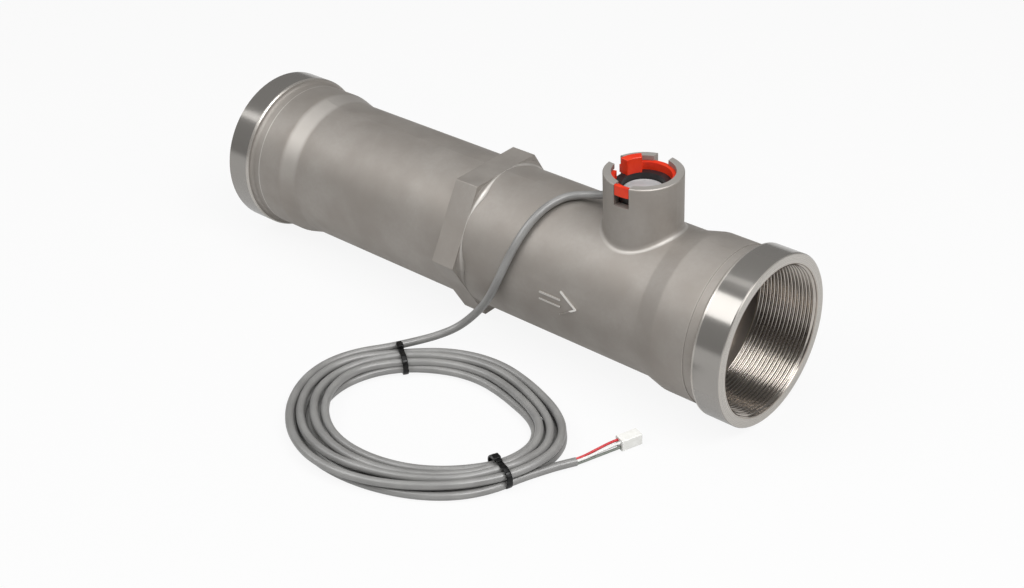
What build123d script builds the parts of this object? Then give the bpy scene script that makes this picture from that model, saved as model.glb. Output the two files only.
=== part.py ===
from build123d import *
import math
import os

# Turbine water meter with a plug-in pulse probe, in millimetres.
# X runs along the pipe in the direction of flow, Z is up, the surface it lies on is z = 0,
# and the origin is under the middle of the cast body.

os.makedirs("parts", exist_ok=True)

# Cast body, outside
RING_R = 50.0
RING_LENGTH = 18.5
HALF_LENGTH = 193.0
RING_EDGE = 0.8
RING_STEP = 3.6
TURNED_LENGTH = 7.0
TURNED_STEP = 0.4
ROOT_FILLET = 2.0
CONE_END_GAP = 46.8
CONE_LENGTH = 12.8
CONE_DROP = 3.2
CONE_BLEND = 8.0
INLET_CONE_SHIFT = 2.8
BODY_WALL = 5.1
HEX_START_X = -10.9
HEX_LENGTH = 16.6
HEX_PROUD = 0.1
HEX_EDGE = 0.7

# Pipe threads: 3 inch parallel, 11 per inch. The wall is at the major diameter.
RING_WALL = 6.06
THREAD_LENGTH = 38.0
THREAD_RUNOUT = 8.0
MOUTH_CHAMFER = 0.25

# Bores along the flow, from each mouth inwards
SNAP_LAND = 3.8
SNAP_THICKNESS = 2.0
SNAP_PLAY = 0.2
SEAT_STEP = 1.1
GROOVE_DEPTH = 1.8
CARTRIDGE_LENGTH = 79.0
STRAIGHTENER_LENGTH = 36.0

# Cast flow arrow, four ribs
ARROW_BACK = 39.5
ARROW_SHAFT_LENGTH = 14.2
ARROW_TIP_REACH = 25.8
ARROW_HEAD_LENGTH = 11.2
ARROW_LIFT = 3.2
ARROW_SHAFT = 4.2
ARROW_HEAD = 14.2
ARROW_RIB = 1.1
ARROW_RAISE = 0.8

# Probe socket
SOCKET_SET_BACK = 34.5
SOCKET_R = 22.3
SOCKET_WALL = 4.5
SOCKET_FLOOR_LIFT = 3.6
SOCKET_DEPTH = 28.55
SOCKET_FILLET = 3.0
RIM_EDGE = 0.5
NOTCH_WIDTH = 9.6
NOTCH_DEPTH = 12.35
CABLE_NOTCH_DEPTH = 26.55
FRONT_NOTCH_ANGLE = -86.0
BACK_NOTCH_ANGLE = 94.0
CABLE_NOTCH_ANGLE = 174.6
CLIP_GROOVE_DEPTH = 1.2

# Clearances
SLIDE_FIT = 0.1
CLOSE_FIT = 0.03
SOFT_FIT = 0.02
CLIP_PLAY = 0.2

# Turbine
SHAFT_R = 2.5
SHAFT_PLAY = 0.15
ROTOR_GAP = 0.9
ROTOR_HUB_R = 10.0
ROTOR_HUB_GAP = 1.0
ROTOR_HUB_EDGE = 1.5
BLADE_COUNT = 8
BLADE_LENGTH = 34.0
BLADE_THICKNESS = 2.0
BLADE_TWIST = 52.0
BLADE_SECTIONS = 5
BAND_LENGTH = 9.0
BAND_THICKNESS = 2.6
MAGNET_COUNT = 4
MAGNET_SIDE = 5.0
MAGNET_THICKNESS = 1.4
MAGNET_SINK = 0.25

# Bearing carriers and sleeve
SLEEVE_WALL = 2.1
CARRIER_RING_WALL = 2.7
FRONT_RING_LENGTH = 18.0
REAR_RING_LENGTH = 8.0
CARRIER_HUB_R = 10.0
HUB_REACH = 4.0
FRONT_NOSE_LENGTH = 15.0
REAR_NOSE_LENGTH = 5.5
NOSE_HANDLE = 0.552
FRONT_VANES = 6
REAR_VANES = 3
VANE_THICKNESS = 2.2
BUSHING_R = 4.4
BUSHING_LENGTH = 11.0
PAD_R = 3.1
PAD_THICKNESS = 2.0

# Inlet straightener
STRAIGHTENER_CORE_R = 13.0
STRAIGHTENER_CORE_WALL = 1.8
STRAIGHTENER_VANES = 8

# Snap rings
SNAP_RADIAL = 3.9
SNAP_GAP_ANGLE = 24.0
SNAP_EAR = 6.8
SNAP_EAR_HOLE_R = 1.25

# Probe
STEM_R = 9.9
STEM_WALL = 3.6
STEM_TIP_WALL = 1.6
STEM_TIP_CLEAR = 0.1
PROBE_WAIST_GAP = 4.8
PROBE_WAIST_HEIGHT = 12.8
FLANGE_GAP = 0.4
FLANGE_HEIGHT = 8.2
FLANGE_EDGE = 0.8
CUP_R = 12.0
CUP_DEPTH = 5.6
CAP_THICKNESS = 1.5
CAP_LIP = 1.0
CAP_LIP_HEIGHT = 0.4
O_RING_SECTION_R = 0.95
O_RING_DROP = 4.8
O_RING_GROOVE_WIDTH = 2.4
BOARD_WIDTH = 11.0
BOARD_THICKNESS = 1.2
BOARD_LIFT = 0.6
BOARD_COVER = 2.5
CHIP_WIDTH = 4.2
CHIP_HEIGHT = 3.2
CHIP_THICKNESS = 1.5
CHIP_EDGE = 0.3
POTTING_DROP = 0.8

# Retaining clip
CLIP_RADIAL = 3.1
CLIP_THICKNESS = 4.5
CLIP_END_ANGLE = -165.0
GRIP_START_ANGLE = 131.0
GRIP_END_ANGLE = 173.0
GRIP_INNER_R = 12.2
GRIP_GAP = 0.3
GRIP_HEIGHT = 9.3
LUG_HEIGHT = 6.0
LUG_WALL = 2.2
CLIP_EDGE = 0.35

# Cable and strain relief
CABLE_R = 2.4
BOOT_LENGTH = 15.5
BOOT_ROOT_R = 3.4
BOOT_END_R = 3.0
BOOT_HOLE_R = 3.45
BOOT_REACH = 3.6
BOOT_SIDE = 1.6
BOOT_DROP = 24.25
LEAD_HOLE_R = 2.7
LEAD_HOLE_LENGTH = 8.0
BOARD_LEAD_R = 0.4
BOARD_LEAD_PITCH = 1.1

# Cable over the pipe: distance back from the strain relief's end, angle round the pipe from
# its top, and gap between the cable and the pipe
OVER_PIPE = [
    (8.2, -1.0, 3.0),
    (17.2, 1.1, 1.0),
    (24.2, 8.5, 0.7),
    (28.4, 20.8, 0.8),
    (31.3, 34.0, 0.8),
    (33.5, 47.9, 0.9),
    (36.0, 62.0, 0.9),
    (39.4, 76.2, 1.0),
    (44.4, 90.7, 1.2),
    (51.6, 106.3, 3.3),
    (61.0, 118.4, 9.5),
    (69.8, 123.1, 19.6),
]

# Coil of cable lying on the surface, and its two ties
COIL_X = 47.5
COIL_GAP = 72.0
COIL_TURN = 10.0
COIL_HALF_LENGTH = 82.0
COIL_HALF_WIDTH = 67.5
COIL_WIDTH = 24.5
COIL_HEIGHT = 10.4
COIL_EDGE = 4.4
TIE_THICKNESS = 1.2
TIE_WIDTH = 3.2
TIE_PLAY = 0.15
TIE_HEAD = 3.6
FIRST_TIE_ANGLE = 131.0
SECOND_TIE_ANGLE = -23.0

# Cable beside the coil, as steps from the coil's centre: the end of the lead, with its
# heights, and the tail up to the end of its jacket
LEAD_TO_COIL = [(-44.7, 57.2, 10.4), (-52.1, 47.6, 8.8)]
TAIL_STEPS = [(79.5, -7.5), (83.7, 3.0), (85.7, 15.0), (89.0, 23.6)]

# Wires and connector
WIRE_R = 0.75
WIRE_RING_R = 1.25
WIRE_STRAIGHT = 5.0
PLUG_STEP = (100.3, 54.8)
PLUG_ANGLE = 70.0
PLUG_LENGTH = 12.5
PLUG_SIDE = 7.0
PLUG_EDGE = 0.5
PIN_PITCH = 3.0
WIRE_HOLE_R = 0.9
WIRE_HOLE_DEPTH = 4.0
CONTACT_SIDE = 1.5
CONTACT_LENGTH = 6.5
CONTACT_PLAY = 0.1
CONTACT_RECESS = 1.0

# Worked out
AXIS_Z = RING_R
RING_BACK_X = HALF_LENGTH - RING_LENGTH
TURNED_X = RING_BACK_X - TURNED_LENGTH
TURNED_R = RING_R - RING_STEP
HUB_R = TURNED_R + TURNED_STEP
CONE_TOP_X = HALF_LENGTH - CONE_END_GAP
CONE_FOOT_X = CONE_TOP_X - CONE_LENGTH
TUBE_R = HUB_R - CONE_DROP
FLOW_BORE_R = TUBE_R - BODY_WALL
SEAT_BORE_R = FLOW_BORE_R + SEAT_STEP
SNAP_GROOVE_R = SEAT_BORE_R + GROOVE_DEPTH
THREAD_MAJOR_R = RING_R - RING_WALL
THREAD_END_X = HALF_LENGTH - THREAD_LENGTH - THREAD_RUNOUT
SNAP_SEAT_X = THREAD_END_X - SNAP_LAND - SNAP_PLAY - SNAP_THICKNESS
TURBINE_STEP_X = SNAP_SEAT_X - CARTRIDGE_LENGTH
STRAIGHTENER_STEP_X = SNAP_SEAT_X - STRAIGHTENER_LENGTH
SOCKET_X = SNAP_SEAT_X - SOCKET_SET_BACK
FLOW_AXIS = Axis((0, 0, AXIS_Z), (1, 0, 0))
AXIS_PLANE = Plane(origin=(0, 0, AXIS_Z), x_dir=(1, 0, 0), z_dir=(0, -1, 0))
SOCKET_AXIS = Axis((SOCKET_X, 0, 0), (0, 0, 1))
SOCKET_PLANE = Plane(origin=(SOCKET_X, 0, 0), x_dir=(1, 0, 0), z_dir=(0, -1, 0))
SOCKET_BORE_R = SOCKET_R - SOCKET_WALL
SOCKET_FLOOR_Z = AXIS_Z + TUBE_R + SOCKET_FLOOR_LIFT
SOCKET_RIM_Z = SOCKET_FLOOR_Z + SOCKET_DEPTH
RING_FIT_R = SEAT_BORE_R - SLIDE_FIT
SLEEVE_INNER_R = RING_FIT_R - SLEEVE_WALL
ROTOR_TIP_R = SLEEVE_INNER_R - ROTOR_GAP
REAR_RING_X = SNAP_SEAT_X - REAR_RING_LENGTH
FRONT_RING_END_X = TURBINE_STEP_X + FRONT_RING_LENGTH
FRONT_HUB_END_X = FRONT_RING_END_X + HUB_REACH
REAR_HUB_START_X = REAR_RING_X - HUB_REACH
FRONT_PAD_X = FRONT_HUB_END_X - BUSHING_LENGTH - PAD_THICKNESS
REAR_PAD_X = REAR_HUB_START_X + BUSHING_LENGTH
STEM_BORE_R = STEM_R + SLIDE_FIT
STEM_TIP_Z = AXIS_Z + SLEEVE_INNER_R + STEM_TIP_CLEAR
CAVITY_R = STEM_R - STEM_WALL
CAVITY_FLOOR_Z = STEM_TIP_Z + STEM_TIP_WALL
WAIST_R = SOCKET_BORE_R - PROBE_WAIST_GAP
WAIST_TOP_Z = SOCKET_FLOOR_Z + PROBE_WAIST_HEIGHT
FLANGE_R = SOCKET_BORE_R - FLANGE_GAP
FLANGE_TOP_Z = WAIST_TOP_Z + FLANGE_HEIGHT
CUP_FLOOR_Z = FLANGE_TOP_Z - CUP_DEPTH
O_RING_Z = SOCKET_FLOOR_Z - O_RING_DROP
CLIP_GROOVE_R = SOCKET_BORE_R + CLIP_GROOVE_DEPTH
CLIP_OUTER_R = CLIP_GROOVE_R - CLIP_PLAY
CLIP_INNER_R = CLIP_OUTER_R - CLIP_RADIAL
COIL_CENTRE = Vector(COIL_X, -RING_R - COIL_GAP)
COIL_BOTTOM_Z = TIE_THICKNESS + TIE_PLAY
BOOT_END = Vector(SOCKET_X - SOCKET_R - BOOT_REACH, BOOT_SIDE, SOCKET_RIM_Z - BOOT_DROP)


def cross_plane(x):
    """Plane across the pipe at x, with its origin on the pipe's axis."""
    return Plane(origin=(x, 0, AXIS_Z), x_dir=(0, 1, 0), z_dir=(1, 0, 0))


def polar(radius, angle):
    """Point of the socket's plan at a radius and an angle from +X, as (x, y)."""
    turn = math.radians(angle)
    return (SOCKET_X + radius * math.cos(turn), radius * math.sin(turn))


def round_pipe(back, angle, gap):
    """Point of the cable's centre line at an angle round the pipe, with a gap under the cable."""
    reach = TUBE_R + CABLE_R + gap
    turn = math.radians(angle)
    return (BOOT_END.X - back, -reach * math.sin(turn), AXIS_Z + reach * math.cos(turn))


def save(part, name):
    """Label a finished piece and write it under its own name."""
    part.label = name
    export_step(part, f"parts/{name}.step")


def route_radii(points):
    """Bend radius at each corner of a cable route, from its runs and its turn."""
    radii = []
    for before, here, after in zip(points, points[1:], points[2:]):
        run_in = Vector(*here) - Vector(*before)
        run_out = Vector(*after) - Vector(*here)
        half_turn = math.radians(run_in.get_angle(run_out) / 2)
        radii.append(0.45 * min(run_in.length, run_out.length) / math.tan(half_turn))
    return radii


def report_tube(name, tube, points, section_r):
    """Print a cable tube's bend radii and compare its volume with section times length."""
    radii = route_radii(points)
    length = FilletPolyline(*points, radius=radii).length
    ratio = tube.volume / (math.pi * section_r**2 * length)
    print(name, "length", round(length, 1), "radii", [round(r, 1) for r in radii], "volume ratio", round(ratio, 4))


def stroke(start, end):
    """Straight rib of the flow arrow between two points of its plan, with round ends."""
    with BuildSketch(mode=Mode.PRIVATE) as rib:
        with Locations(((start[0] + end[0]) / 2, (start[1] + end[1]) / 2)):
            turn = math.degrees(math.atan2(end[1] - start[1], end[0] - start[0]))
            SlotCenterToCenter(math.dist(start, end), ARROW_RIB, rotation=turn)
    return rib.sketch_local


# Cast body
arrow_start_x = SOCKET_X - ARROW_BACK
arrow_tip_x = arrow_start_x + ARROW_TIP_REACH
with BuildPart() as arrow:
    with BuildSketch(AXIS_PLANE.offset(TUBE_R - 4 * ARROW_RAISE)):
        for side in (-1, 1):
            shaft_z = ARROW_LIFT + side * ARROW_SHAFT / 2
            wing_z = ARROW_LIFT + side * ARROW_HEAD / 2
            add(stroke((arrow_start_x, shaft_z), (arrow_start_x + ARROW_SHAFT_LENGTH, shaft_z)))
            add(stroke((arrow_tip_x - ARROW_HEAD_LENGTH, wing_z), (arrow_tip_x, ARROW_LIFT)))
    extrude(amount=6 * ARROW_RAISE)
    with BuildSketch(cross_plane(arrow_start_x - ARROW_RIB)):
        Circle(TUBE_R + ARROW_RAISE)
    extrude(amount=ARROW_TIP_REACH + 2 * ARROW_RIB, mode=Mode.INTERSECT)


def end_outline(cone_shift):
    """Return the outline from the cone to the end face, with the cone moved towards the face."""
    return [
        (CONE_FOOT_X + cone_shift, TUBE_R),
        (CONE_TOP_X + cone_shift, HUB_R),
        (TURNED_X, HUB_R),
        (TURNED_X, TURNED_R),
        (RING_BACK_X, TURNED_R),
        (RING_BACK_X, RING_R),
        (HALF_LENGTH, RING_R),
    ]


with BuildPart() as meter_body:
    inlet_end = [(-x, r) for x, r in reversed(end_outline(INLET_CONE_SHIFT))]
    with BuildSketch(AXIS_PLANE) as outline:
        with BuildLine():
            Polyline((-HALF_LENGTH, 0), *inlet_end, *end_outline(0), (HALF_LENGTH, 0), close=True)
        make_face()
        corners = outline.vertices()
        roots = [v for v in corners if abs(abs(v.X) - RING_BACK_X) < 0.01 and abs(v.Y - TURNED_R) < 0.01]
        fillet(roots, ROOT_FILLET)
        corners = outline.vertices()
        cone_places = inlet_end[-2:] + end_outline(0)[:2]
        cone_ends = [v for v in corners if min(math.dist((v.X, v.Y), place) for place in cone_places) < 0.01]
        fillet(cone_ends, CONE_BLEND)
        corners = outline.vertices()
        ring_edges = [v for v in corners if abs(v.Y - RING_R) < 0.01]
        chamfer(ring_edges, RING_EDGE)
    revolve(axis=FLOW_AXIS)

    with BuildPart(mode=Mode.PRIVATE) as hex_band:
        with BuildSketch(cross_plane(HEX_START_X)):
            RegularPolygon(TUBE_R + HEX_PROUD, 6, major_radius=False)
        extrude(amount=HEX_LENGTH)
        fillet(hex_band.edges().filter_by(Axis.X), HEX_EDGE)
    add(hex_band.part)

    with BuildSketch(Plane.XY.offset(AXIS_Z)):
        with Locations((SOCKET_X, 0)):
            Circle(SOCKET_R)
    extrude(amount=SOCKET_RIM_Z - AXIS_Z)
    foot = meter_body.edges(Select.LAST).filter_by(lambda e: e.geom_type not in (GeomType.CIRCLE, GeomType.LINE))
    fillet(foot, SOCKET_FILLET)
    rim = meter_body.edges().filter_by(GeomType.CIRCLE).sort_by(Axis.Z)[-1]
    chamfer(rim, RIM_EDGE)
    add(arrow.part)

    # Flow bore with its seats, snap ring grooves and threaded ends
    bore_half = [
        (TURBINE_STEP_X, FLOW_BORE_R),
        (TURBINE_STEP_X, SEAT_BORE_R),
        (SNAP_SEAT_X, SEAT_BORE_R),
        (SNAP_SEAT_X, SNAP_GROOVE_R),
        (SNAP_SEAT_X + SNAP_THICKNESS + SNAP_PLAY, SNAP_GROOVE_R),
        (SNAP_SEAT_X + SNAP_THICKNESS + SNAP_PLAY, SEAT_BORE_R),
        (THREAD_END_X, SEAT_BORE_R),
        (THREAD_END_X, THREAD_MAJOR_R),
        (HALF_LENGTH - MOUTH_CHAMFER, THREAD_MAJOR_R),
        (HALF_LENGTH, THREAD_MAJOR_R + MOUTH_CHAMFER),
    ]
    inlet_bore = [(-x, r) for x, r in reversed(bore_half)]
    inlet_bore[-2:] = [(-STRAIGHTENER_STEP_X, SEAT_BORE_R), (-STRAIGHTENER_STEP_X, FLOW_BORE_R)]
    with BuildSketch(AXIS_PLANE):
        with BuildLine():
            Polyline((-HALF_LENGTH, 0), *inlet_bore, *bore_half, (HALF_LENGTH, 0), close=True)
        make_face()
    revolve(axis=FLOW_AXIS, mode=Mode.SUBTRACT)

    # Socket bore, stem hole, clip groove and the three notches in its rim
    with BuildSketch(Plane.XY.offset(SOCKET_FLOOR_Z)):
        with Locations((SOCKET_X, 0)):
            Circle(SOCKET_BORE_R)
    extrude(amount=SOCKET_RIM_Z - SOCKET_FLOOR_Z, mode=Mode.SUBTRACT)
    with BuildSketch(Plane.XY.offset(AXIS_Z + FLOW_BORE_R / 2)):
        with Locations((SOCKET_X, 0)):
            Circle(STEM_BORE_R)
    extrude(amount=SOCKET_FLOOR_Z - AXIS_Z - FLOW_BORE_R / 2, mode=Mode.SUBTRACT)
    with BuildSketch(Plane.XY.offset(FLANGE_TOP_Z - CLIP_PLAY)):
        with Locations((SOCKET_X, 0)):
            Circle(CLIP_GROOVE_R)
    extrude(amount=CLIP_THICKNESS + 2 * CLIP_PLAY, mode=Mode.SUBTRACT)
    for angle, depth in (
        (FRONT_NOTCH_ANGLE, NOTCH_DEPTH),
        (BACK_NOTCH_ANGLE, NOTCH_DEPTH),
        (CABLE_NOTCH_ANGLE, CABLE_NOTCH_DEPTH),
    ):
        turn = math.radians(angle)
        notch_plane = Plane(
            origin=(SOCKET_X, 0, SOCKET_RIM_Z - depth),
            x_dir=(math.cos(turn), math.sin(turn), 0),
            z_dir=(0, 0, 1),
        )
        with BuildSketch(notch_plane):
            with Locations(((SOCKET_BORE_R + SOCKET_R) / 2, 0)):
                Rectangle(SOCKET_R, NOTCH_WIDTH)
        extrude(amount=depth, mode=Mode.SUBTRACT)
save(meter_body.part, "meter_body")


def make_snap_ring(start_x):
    """Internal snap ring with two eared ends, its back face at start_x."""
    outer = SNAP_GROOVE_R - SLIDE_FIT
    inner = outer - SNAP_RADIAL
    half_gap = math.radians(SNAP_GAP_ANGLE / 2)
    ear_r = outer - SNAP_EAR / 2 - SNAP_PLAY
    ear_turn = half_gap + SNAP_EAR / 2 / ear_r
    with BuildPart() as ring:
        with BuildSketch(cross_plane(start_x)):
            Circle(outer)
            Circle(inner, mode=Mode.SUBTRACT)
            with BuildLine():
                reach = 2 * outer
                Polyline(
                    (0, 0),
                    (-reach * math.sin(half_gap), reach * math.cos(half_gap)),
                    (reach * math.sin(half_gap), reach * math.cos(half_gap)),
                    close=True,
                )
            make_face(mode=Mode.SUBTRACT)
            ears = [(side * ear_r * math.sin(ear_turn), ear_r * math.cos(ear_turn)) for side in (-1, 1)]
            with Locations(*ears):
                Circle(SNAP_EAR / 2)
            with Locations(*ears):
                Circle(SNAP_EAR_HOLE_R, mode=Mode.SUBTRACT)
        extrude(amount=SNAP_THICKNESS)
    return ring.part


save(make_snap_ring(SNAP_SEAT_X), "outlet_snap_ring")
save(make_snap_ring(-SNAP_SEAT_X - SNAP_THICKNESS), "inlet_snap_ring")

# Flow straightener in the inlet
with BuildPart() as inlet_straightener:
    ring_inner_r = RING_FIT_R - CARRIER_RING_WALL
    with BuildSketch(cross_plane(-SNAP_SEAT_X)):
        Circle(RING_FIT_R)
        Circle(ring_inner_r, mode=Mode.SUBTRACT)
        Circle(STRAIGHTENER_CORE_R)
        Circle(STRAIGHTENER_CORE_R - STRAIGHTENER_CORE_WALL, mode=Mode.SUBTRACT)
        vane_span = ring_inner_r - STRAIGHTENER_CORE_R + 2
        with PolarLocations(STRAIGHTENER_CORE_R - 1 + vane_span / 2, STRAIGHTENER_VANES):
            Rectangle(vane_span, VANE_THICKNESS)
    extrude(amount=STRAIGHTENER_LENGTH)
save(inlet_straightener.part, "inlet_straightener")


def make_carrier(ring_x, ring_length, hub_inner_x, outward, vanes, nose_length):
    """Bearing carrier: ring, vanes and a hub with a rounded nose on its outward side."""
    ring_inner = RING_FIT_R - CARRIER_RING_WALL
    ring_far_x = ring_x if outward < 0 else ring_x + ring_length
    nose_tip_x = ring_far_x + outward * nose_length
    pocket_end_x = hub_inner_x + outward * BUSHING_LENGTH
    pad_end_x = pocket_end_x + outward * PAD_THICKNESS
    with BuildPart() as carrier:
        with BuildSketch(cross_plane(ring_x)):
            Circle(RING_FIT_R)
            Circle(ring_inner, mode=Mode.SUBTRACT)
            span = ring_inner - CARRIER_HUB_R + 2
            with PolarLocations(CARRIER_HUB_R - 1 + span / 2, vanes, start_angle=90):
                Rectangle(span, VANE_THICKNESS)
        extrude(amount=ring_length)
        with BuildSketch(AXIS_PLANE):
            with BuildLine():
                Polyline((ring_far_x, CARRIER_HUB_R), (hub_inner_x, CARRIER_HUB_R), (hub_inner_x, 0), (nose_tip_x, 0))
                Bezier(
                    (nose_tip_x, 0),
                    (nose_tip_x, NOSE_HANDLE * CARRIER_HUB_R),
                    (ring_far_x + outward * NOSE_HANDLE * nose_length, CARRIER_HUB_R),
                    (ring_far_x, CARRIER_HUB_R),
                )
            make_face()
        revolve(axis=FLOW_AXIS)
        with BuildSketch(AXIS_PLANE):
            with BuildLine():
                Polyline(
                    (hub_inner_x, 0),
                    (hub_inner_x, BUSHING_R + SOFT_FIT),
                    (pocket_end_x, BUSHING_R + SOFT_FIT),
                    (pocket_end_x, PAD_R + SOFT_FIT),
                    (pad_end_x, PAD_R + SOFT_FIT),
                    (pad_end_x, 0),
                    close=True,
                )
            make_face()
        revolve(axis=FLOW_AXIS, mode=Mode.SUBTRACT)
    return carrier.part


front_carrier = make_carrier(
    TURBINE_STEP_X, FRONT_RING_LENGTH, FRONT_HUB_END_X, -1, FRONT_VANES, FRONT_NOSE_LENGTH
)
save(front_carrier, "front_bearing_carrier")
rear_carrier = make_carrier(REAR_RING_X, REAR_RING_LENGTH, REAR_HUB_START_X, 1, REAR_VANES, REAR_NOSE_LENGTH)
save(rear_carrier, "rear_bearing_carrier")

# Sleeve between the two carriers, with a window for the probe's stem
with BuildPart() as turbine_sleeve:
    with BuildSketch(cross_plane(FRONT_RING_END_X)):
        Circle(RING_FIT_R)
        Circle(SLEEVE_INNER_R, mode=Mode.SUBTRACT)
    extrude(amount=REAR_RING_X - FRONT_RING_END_X)
    with BuildSketch(Plane.XY.offset(AXIS_Z)):
        with Locations((SOCKET_X, 0)):
            Circle(STEM_BORE_R + SLIDE_FIT)
    extrude(amount=RING_R, mode=Mode.SUBTRACT)
save(turbine_sleeve.part, "turbine_sleeve")


def make_plain_bush(start_x, outer_r, inner_r, length):
    """Turned round piece on the flow axis, bored when inner_r is above zero."""
    with BuildPart() as bush:
        with BuildSketch(cross_plane(start_x)):
            Circle(outer_r)
            if inner_r > 0:
                Circle(inner_r, mode=Mode.SUBTRACT)
        extrude(amount=length)
    return bush.part


bush_bore_r = SHAFT_R + CLOSE_FIT
front_bush_x = FRONT_HUB_END_X - BUSHING_LENGTH
save(make_plain_bush(front_bush_x, BUSHING_R, bush_bore_r, BUSHING_LENGTH), "front_bushing")
save(make_plain_bush(REAR_HUB_START_X, BUSHING_R, bush_bore_r, BUSHING_LENGTH), "rear_bushing")
save(make_plain_bush(FRONT_PAD_X, PAD_R, 0, PAD_THICKNESS), "front_thrust_pad")
save(make_plain_bush(REAR_PAD_X, PAD_R, 0, PAD_THICKNESS), "rear_thrust_pad")

# Turbine shaft with rounded ends
with BuildPart() as turbine_shaft:
    shaft_start_x = FRONT_PAD_X + PAD_THICKNESS + SHAFT_PLAY
    with BuildSketch(cross_plane(shaft_start_x)):
        Circle(SHAFT_R)
    extrude(amount=REAR_PAD_X - SHAFT_PLAY - shaft_start_x)
    fillet(turbine_shaft.edges().filter_by(GeomType.CIRCLE), SHAFT_R / 4)
save(turbine_shaft.part, "turbine_shaft")

# Turbine rotor: hub, helical blades and a band that holds the magnets
magnet_plane_turn = [360 / MAGNET_COUNT * i for i in range(MAGNET_COUNT)]
band_start_x = SOCKET_X - BAND_LENGTH / 2
with BuildPart() as turbine_rotor:
    hub_start_x = FRONT_HUB_END_X + ROTOR_HUB_GAP
    with BuildSketch(cross_plane(hub_start_x)):
        Circle(ROTOR_HUB_R)
    extrude(amount=REAR_HUB_START_X - ROTOR_HUB_GAP - hub_start_x)
    fillet(turbine_rotor.edges().filter_by(GeomType.CIRCLE), ROTOR_HUB_EDGE)
    blade_root_r = ROTOR_HUB_R - 2
    blade_tip_r = ROTOR_TIP_R - BAND_THICKNESS / 2
    for blade in range(BLADE_COUNT):
        with BuildPart(mode=Mode.PRIVATE) as blade_part:
            for section in range(BLADE_SECTIONS):
                share = section / (BLADE_SECTIONS - 1)
                turn = math.radians(360 / BLADE_COUNT * blade + BLADE_TWIST * share)
                section_x = SOCKET_X - BLADE_LENGTH / 2 + BLADE_LENGTH * share
                across = Plane(
                    origin=(section_x, 0, AXIS_Z),
                    x_dir=(0, math.cos(turn), math.sin(turn)),
                    z_dir=(1, 0, 0),
                )
                with BuildSketch(across):
                    with Locations(((blade_root_r + blade_tip_r) / 2, 0)):
                        Rectangle(blade_tip_r - blade_root_r, BLADE_THICKNESS)
            loft()
        add(blade_part.part)
    with BuildSketch(cross_plane(band_start_x)):
        Circle(ROTOR_TIP_R)
        Circle(ROTOR_TIP_R - BAND_THICKNESS, mode=Mode.SUBTRACT)
    extrude(amount=BAND_LENGTH)
    with BuildSketch(cross_plane(hub_start_x)):
        Circle(SHAFT_R + SOFT_FIT)
    extrude(amount=REAR_HUB_START_X - hub_start_x, mode=Mode.SUBTRACT)
    for degrees in magnet_plane_turn:
        turn = math.radians(degrees)
        pocket_r = ROTOR_TIP_R - MAGNET_SINK - MAGNET_THICKNESS - SOFT_FIT
        pocket = Plane(
            origin=(SOCKET_X, pocket_r * math.cos(turn), AXIS_Z + pocket_r * math.sin(turn)),
            x_dir=(1, 0, 0),
            z_dir=(0, math.cos(turn), math.sin(turn)),
        )
        with BuildSketch(pocket):
            Rectangle(MAGNET_SIDE + 2 * SOFT_FIT, MAGNET_SIDE + 2 * SOFT_FIT)
        extrude(amount=BAND_THICKNESS, mode=Mode.SUBTRACT)
save(turbine_rotor.part, "turbine_rotor")

with BuildPart() as rotor_magnets:
    for degrees in magnet_plane_turn:
        turn = math.radians(degrees)
        seat_r = ROTOR_TIP_R - MAGNET_SINK - MAGNET_THICKNESS
        seat = Plane(
            origin=(SOCKET_X, seat_r * math.cos(turn), AXIS_Z + seat_r * math.sin(turn)),
            x_dir=(1, 0, 0),
            z_dir=(0, math.cos(turn), math.sin(turn)),
        )
        with BuildSketch(seat):
            Rectangle(MAGNET_SIDE, MAGNET_SIDE)
        extrude(amount=MAGNET_THICKNESS)
save(rotor_magnets.part, "rotor_magnets")

# Probe: stem, body, flange and a cup for its cap
boot_dir = (Vector(*round_pipe(*OVER_PIPE[0])) - BOOT_END).normalized()
boot_start = BOOT_END - boot_dir * BOOT_LENGTH
boot_plane = Plane(origin=boot_start, z_dir=boot_dir)
groove_bottom_r = STEM_R - 2 * O_RING_SECTION_R
with BuildPart() as probe_body:
    with BuildSketch(SOCKET_PLANE):
        with BuildLine():
            Polyline(
                (0, STEM_TIP_Z),
                (STEM_R, STEM_TIP_Z),
                (STEM_R, O_RING_Z - O_RING_GROOVE_WIDTH / 2),
                (groove_bottom_r, O_RING_Z - O_RING_GROOVE_WIDTH / 2),
                (groove_bottom_r, O_RING_Z + O_RING_GROOVE_WIDTH / 2),
                (STEM_R, O_RING_Z + O_RING_GROOVE_WIDTH / 2),
                (STEM_R, SOCKET_FLOOR_Z),
                (WAIST_R, SOCKET_FLOOR_Z),
                (WAIST_R, WAIST_TOP_Z),
                (FLANGE_R, WAIST_TOP_Z),
                (FLANGE_R, FLANGE_TOP_Z - FLANGE_EDGE),
                (FLANGE_R - FLANGE_EDGE, FLANGE_TOP_Z),
                (CUP_R, FLANGE_TOP_Z),
                (CUP_R, CUP_FLOOR_Z),
                (CAVITY_R, CUP_FLOOR_Z),
                (CAVITY_R, CAVITY_FLOOR_Z),
                (0, CAVITY_FLOOR_Z),
                close=True,
            )
        make_face()
    revolve(axis=SOCKET_AXIS)
    with BuildSketch(boot_plane):
        Circle(BOOT_HOLE_R)
    extrude(amount=BOOT_LENGTH, mode=Mode.SUBTRACT)
    with BuildSketch(boot_plane):
        Circle(LEAD_HOLE_R)
    extrude(amount=-LEAD_HOLE_LENGTH, mode=Mode.SUBTRACT)
save(probe_body.part, "probe_body")

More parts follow.
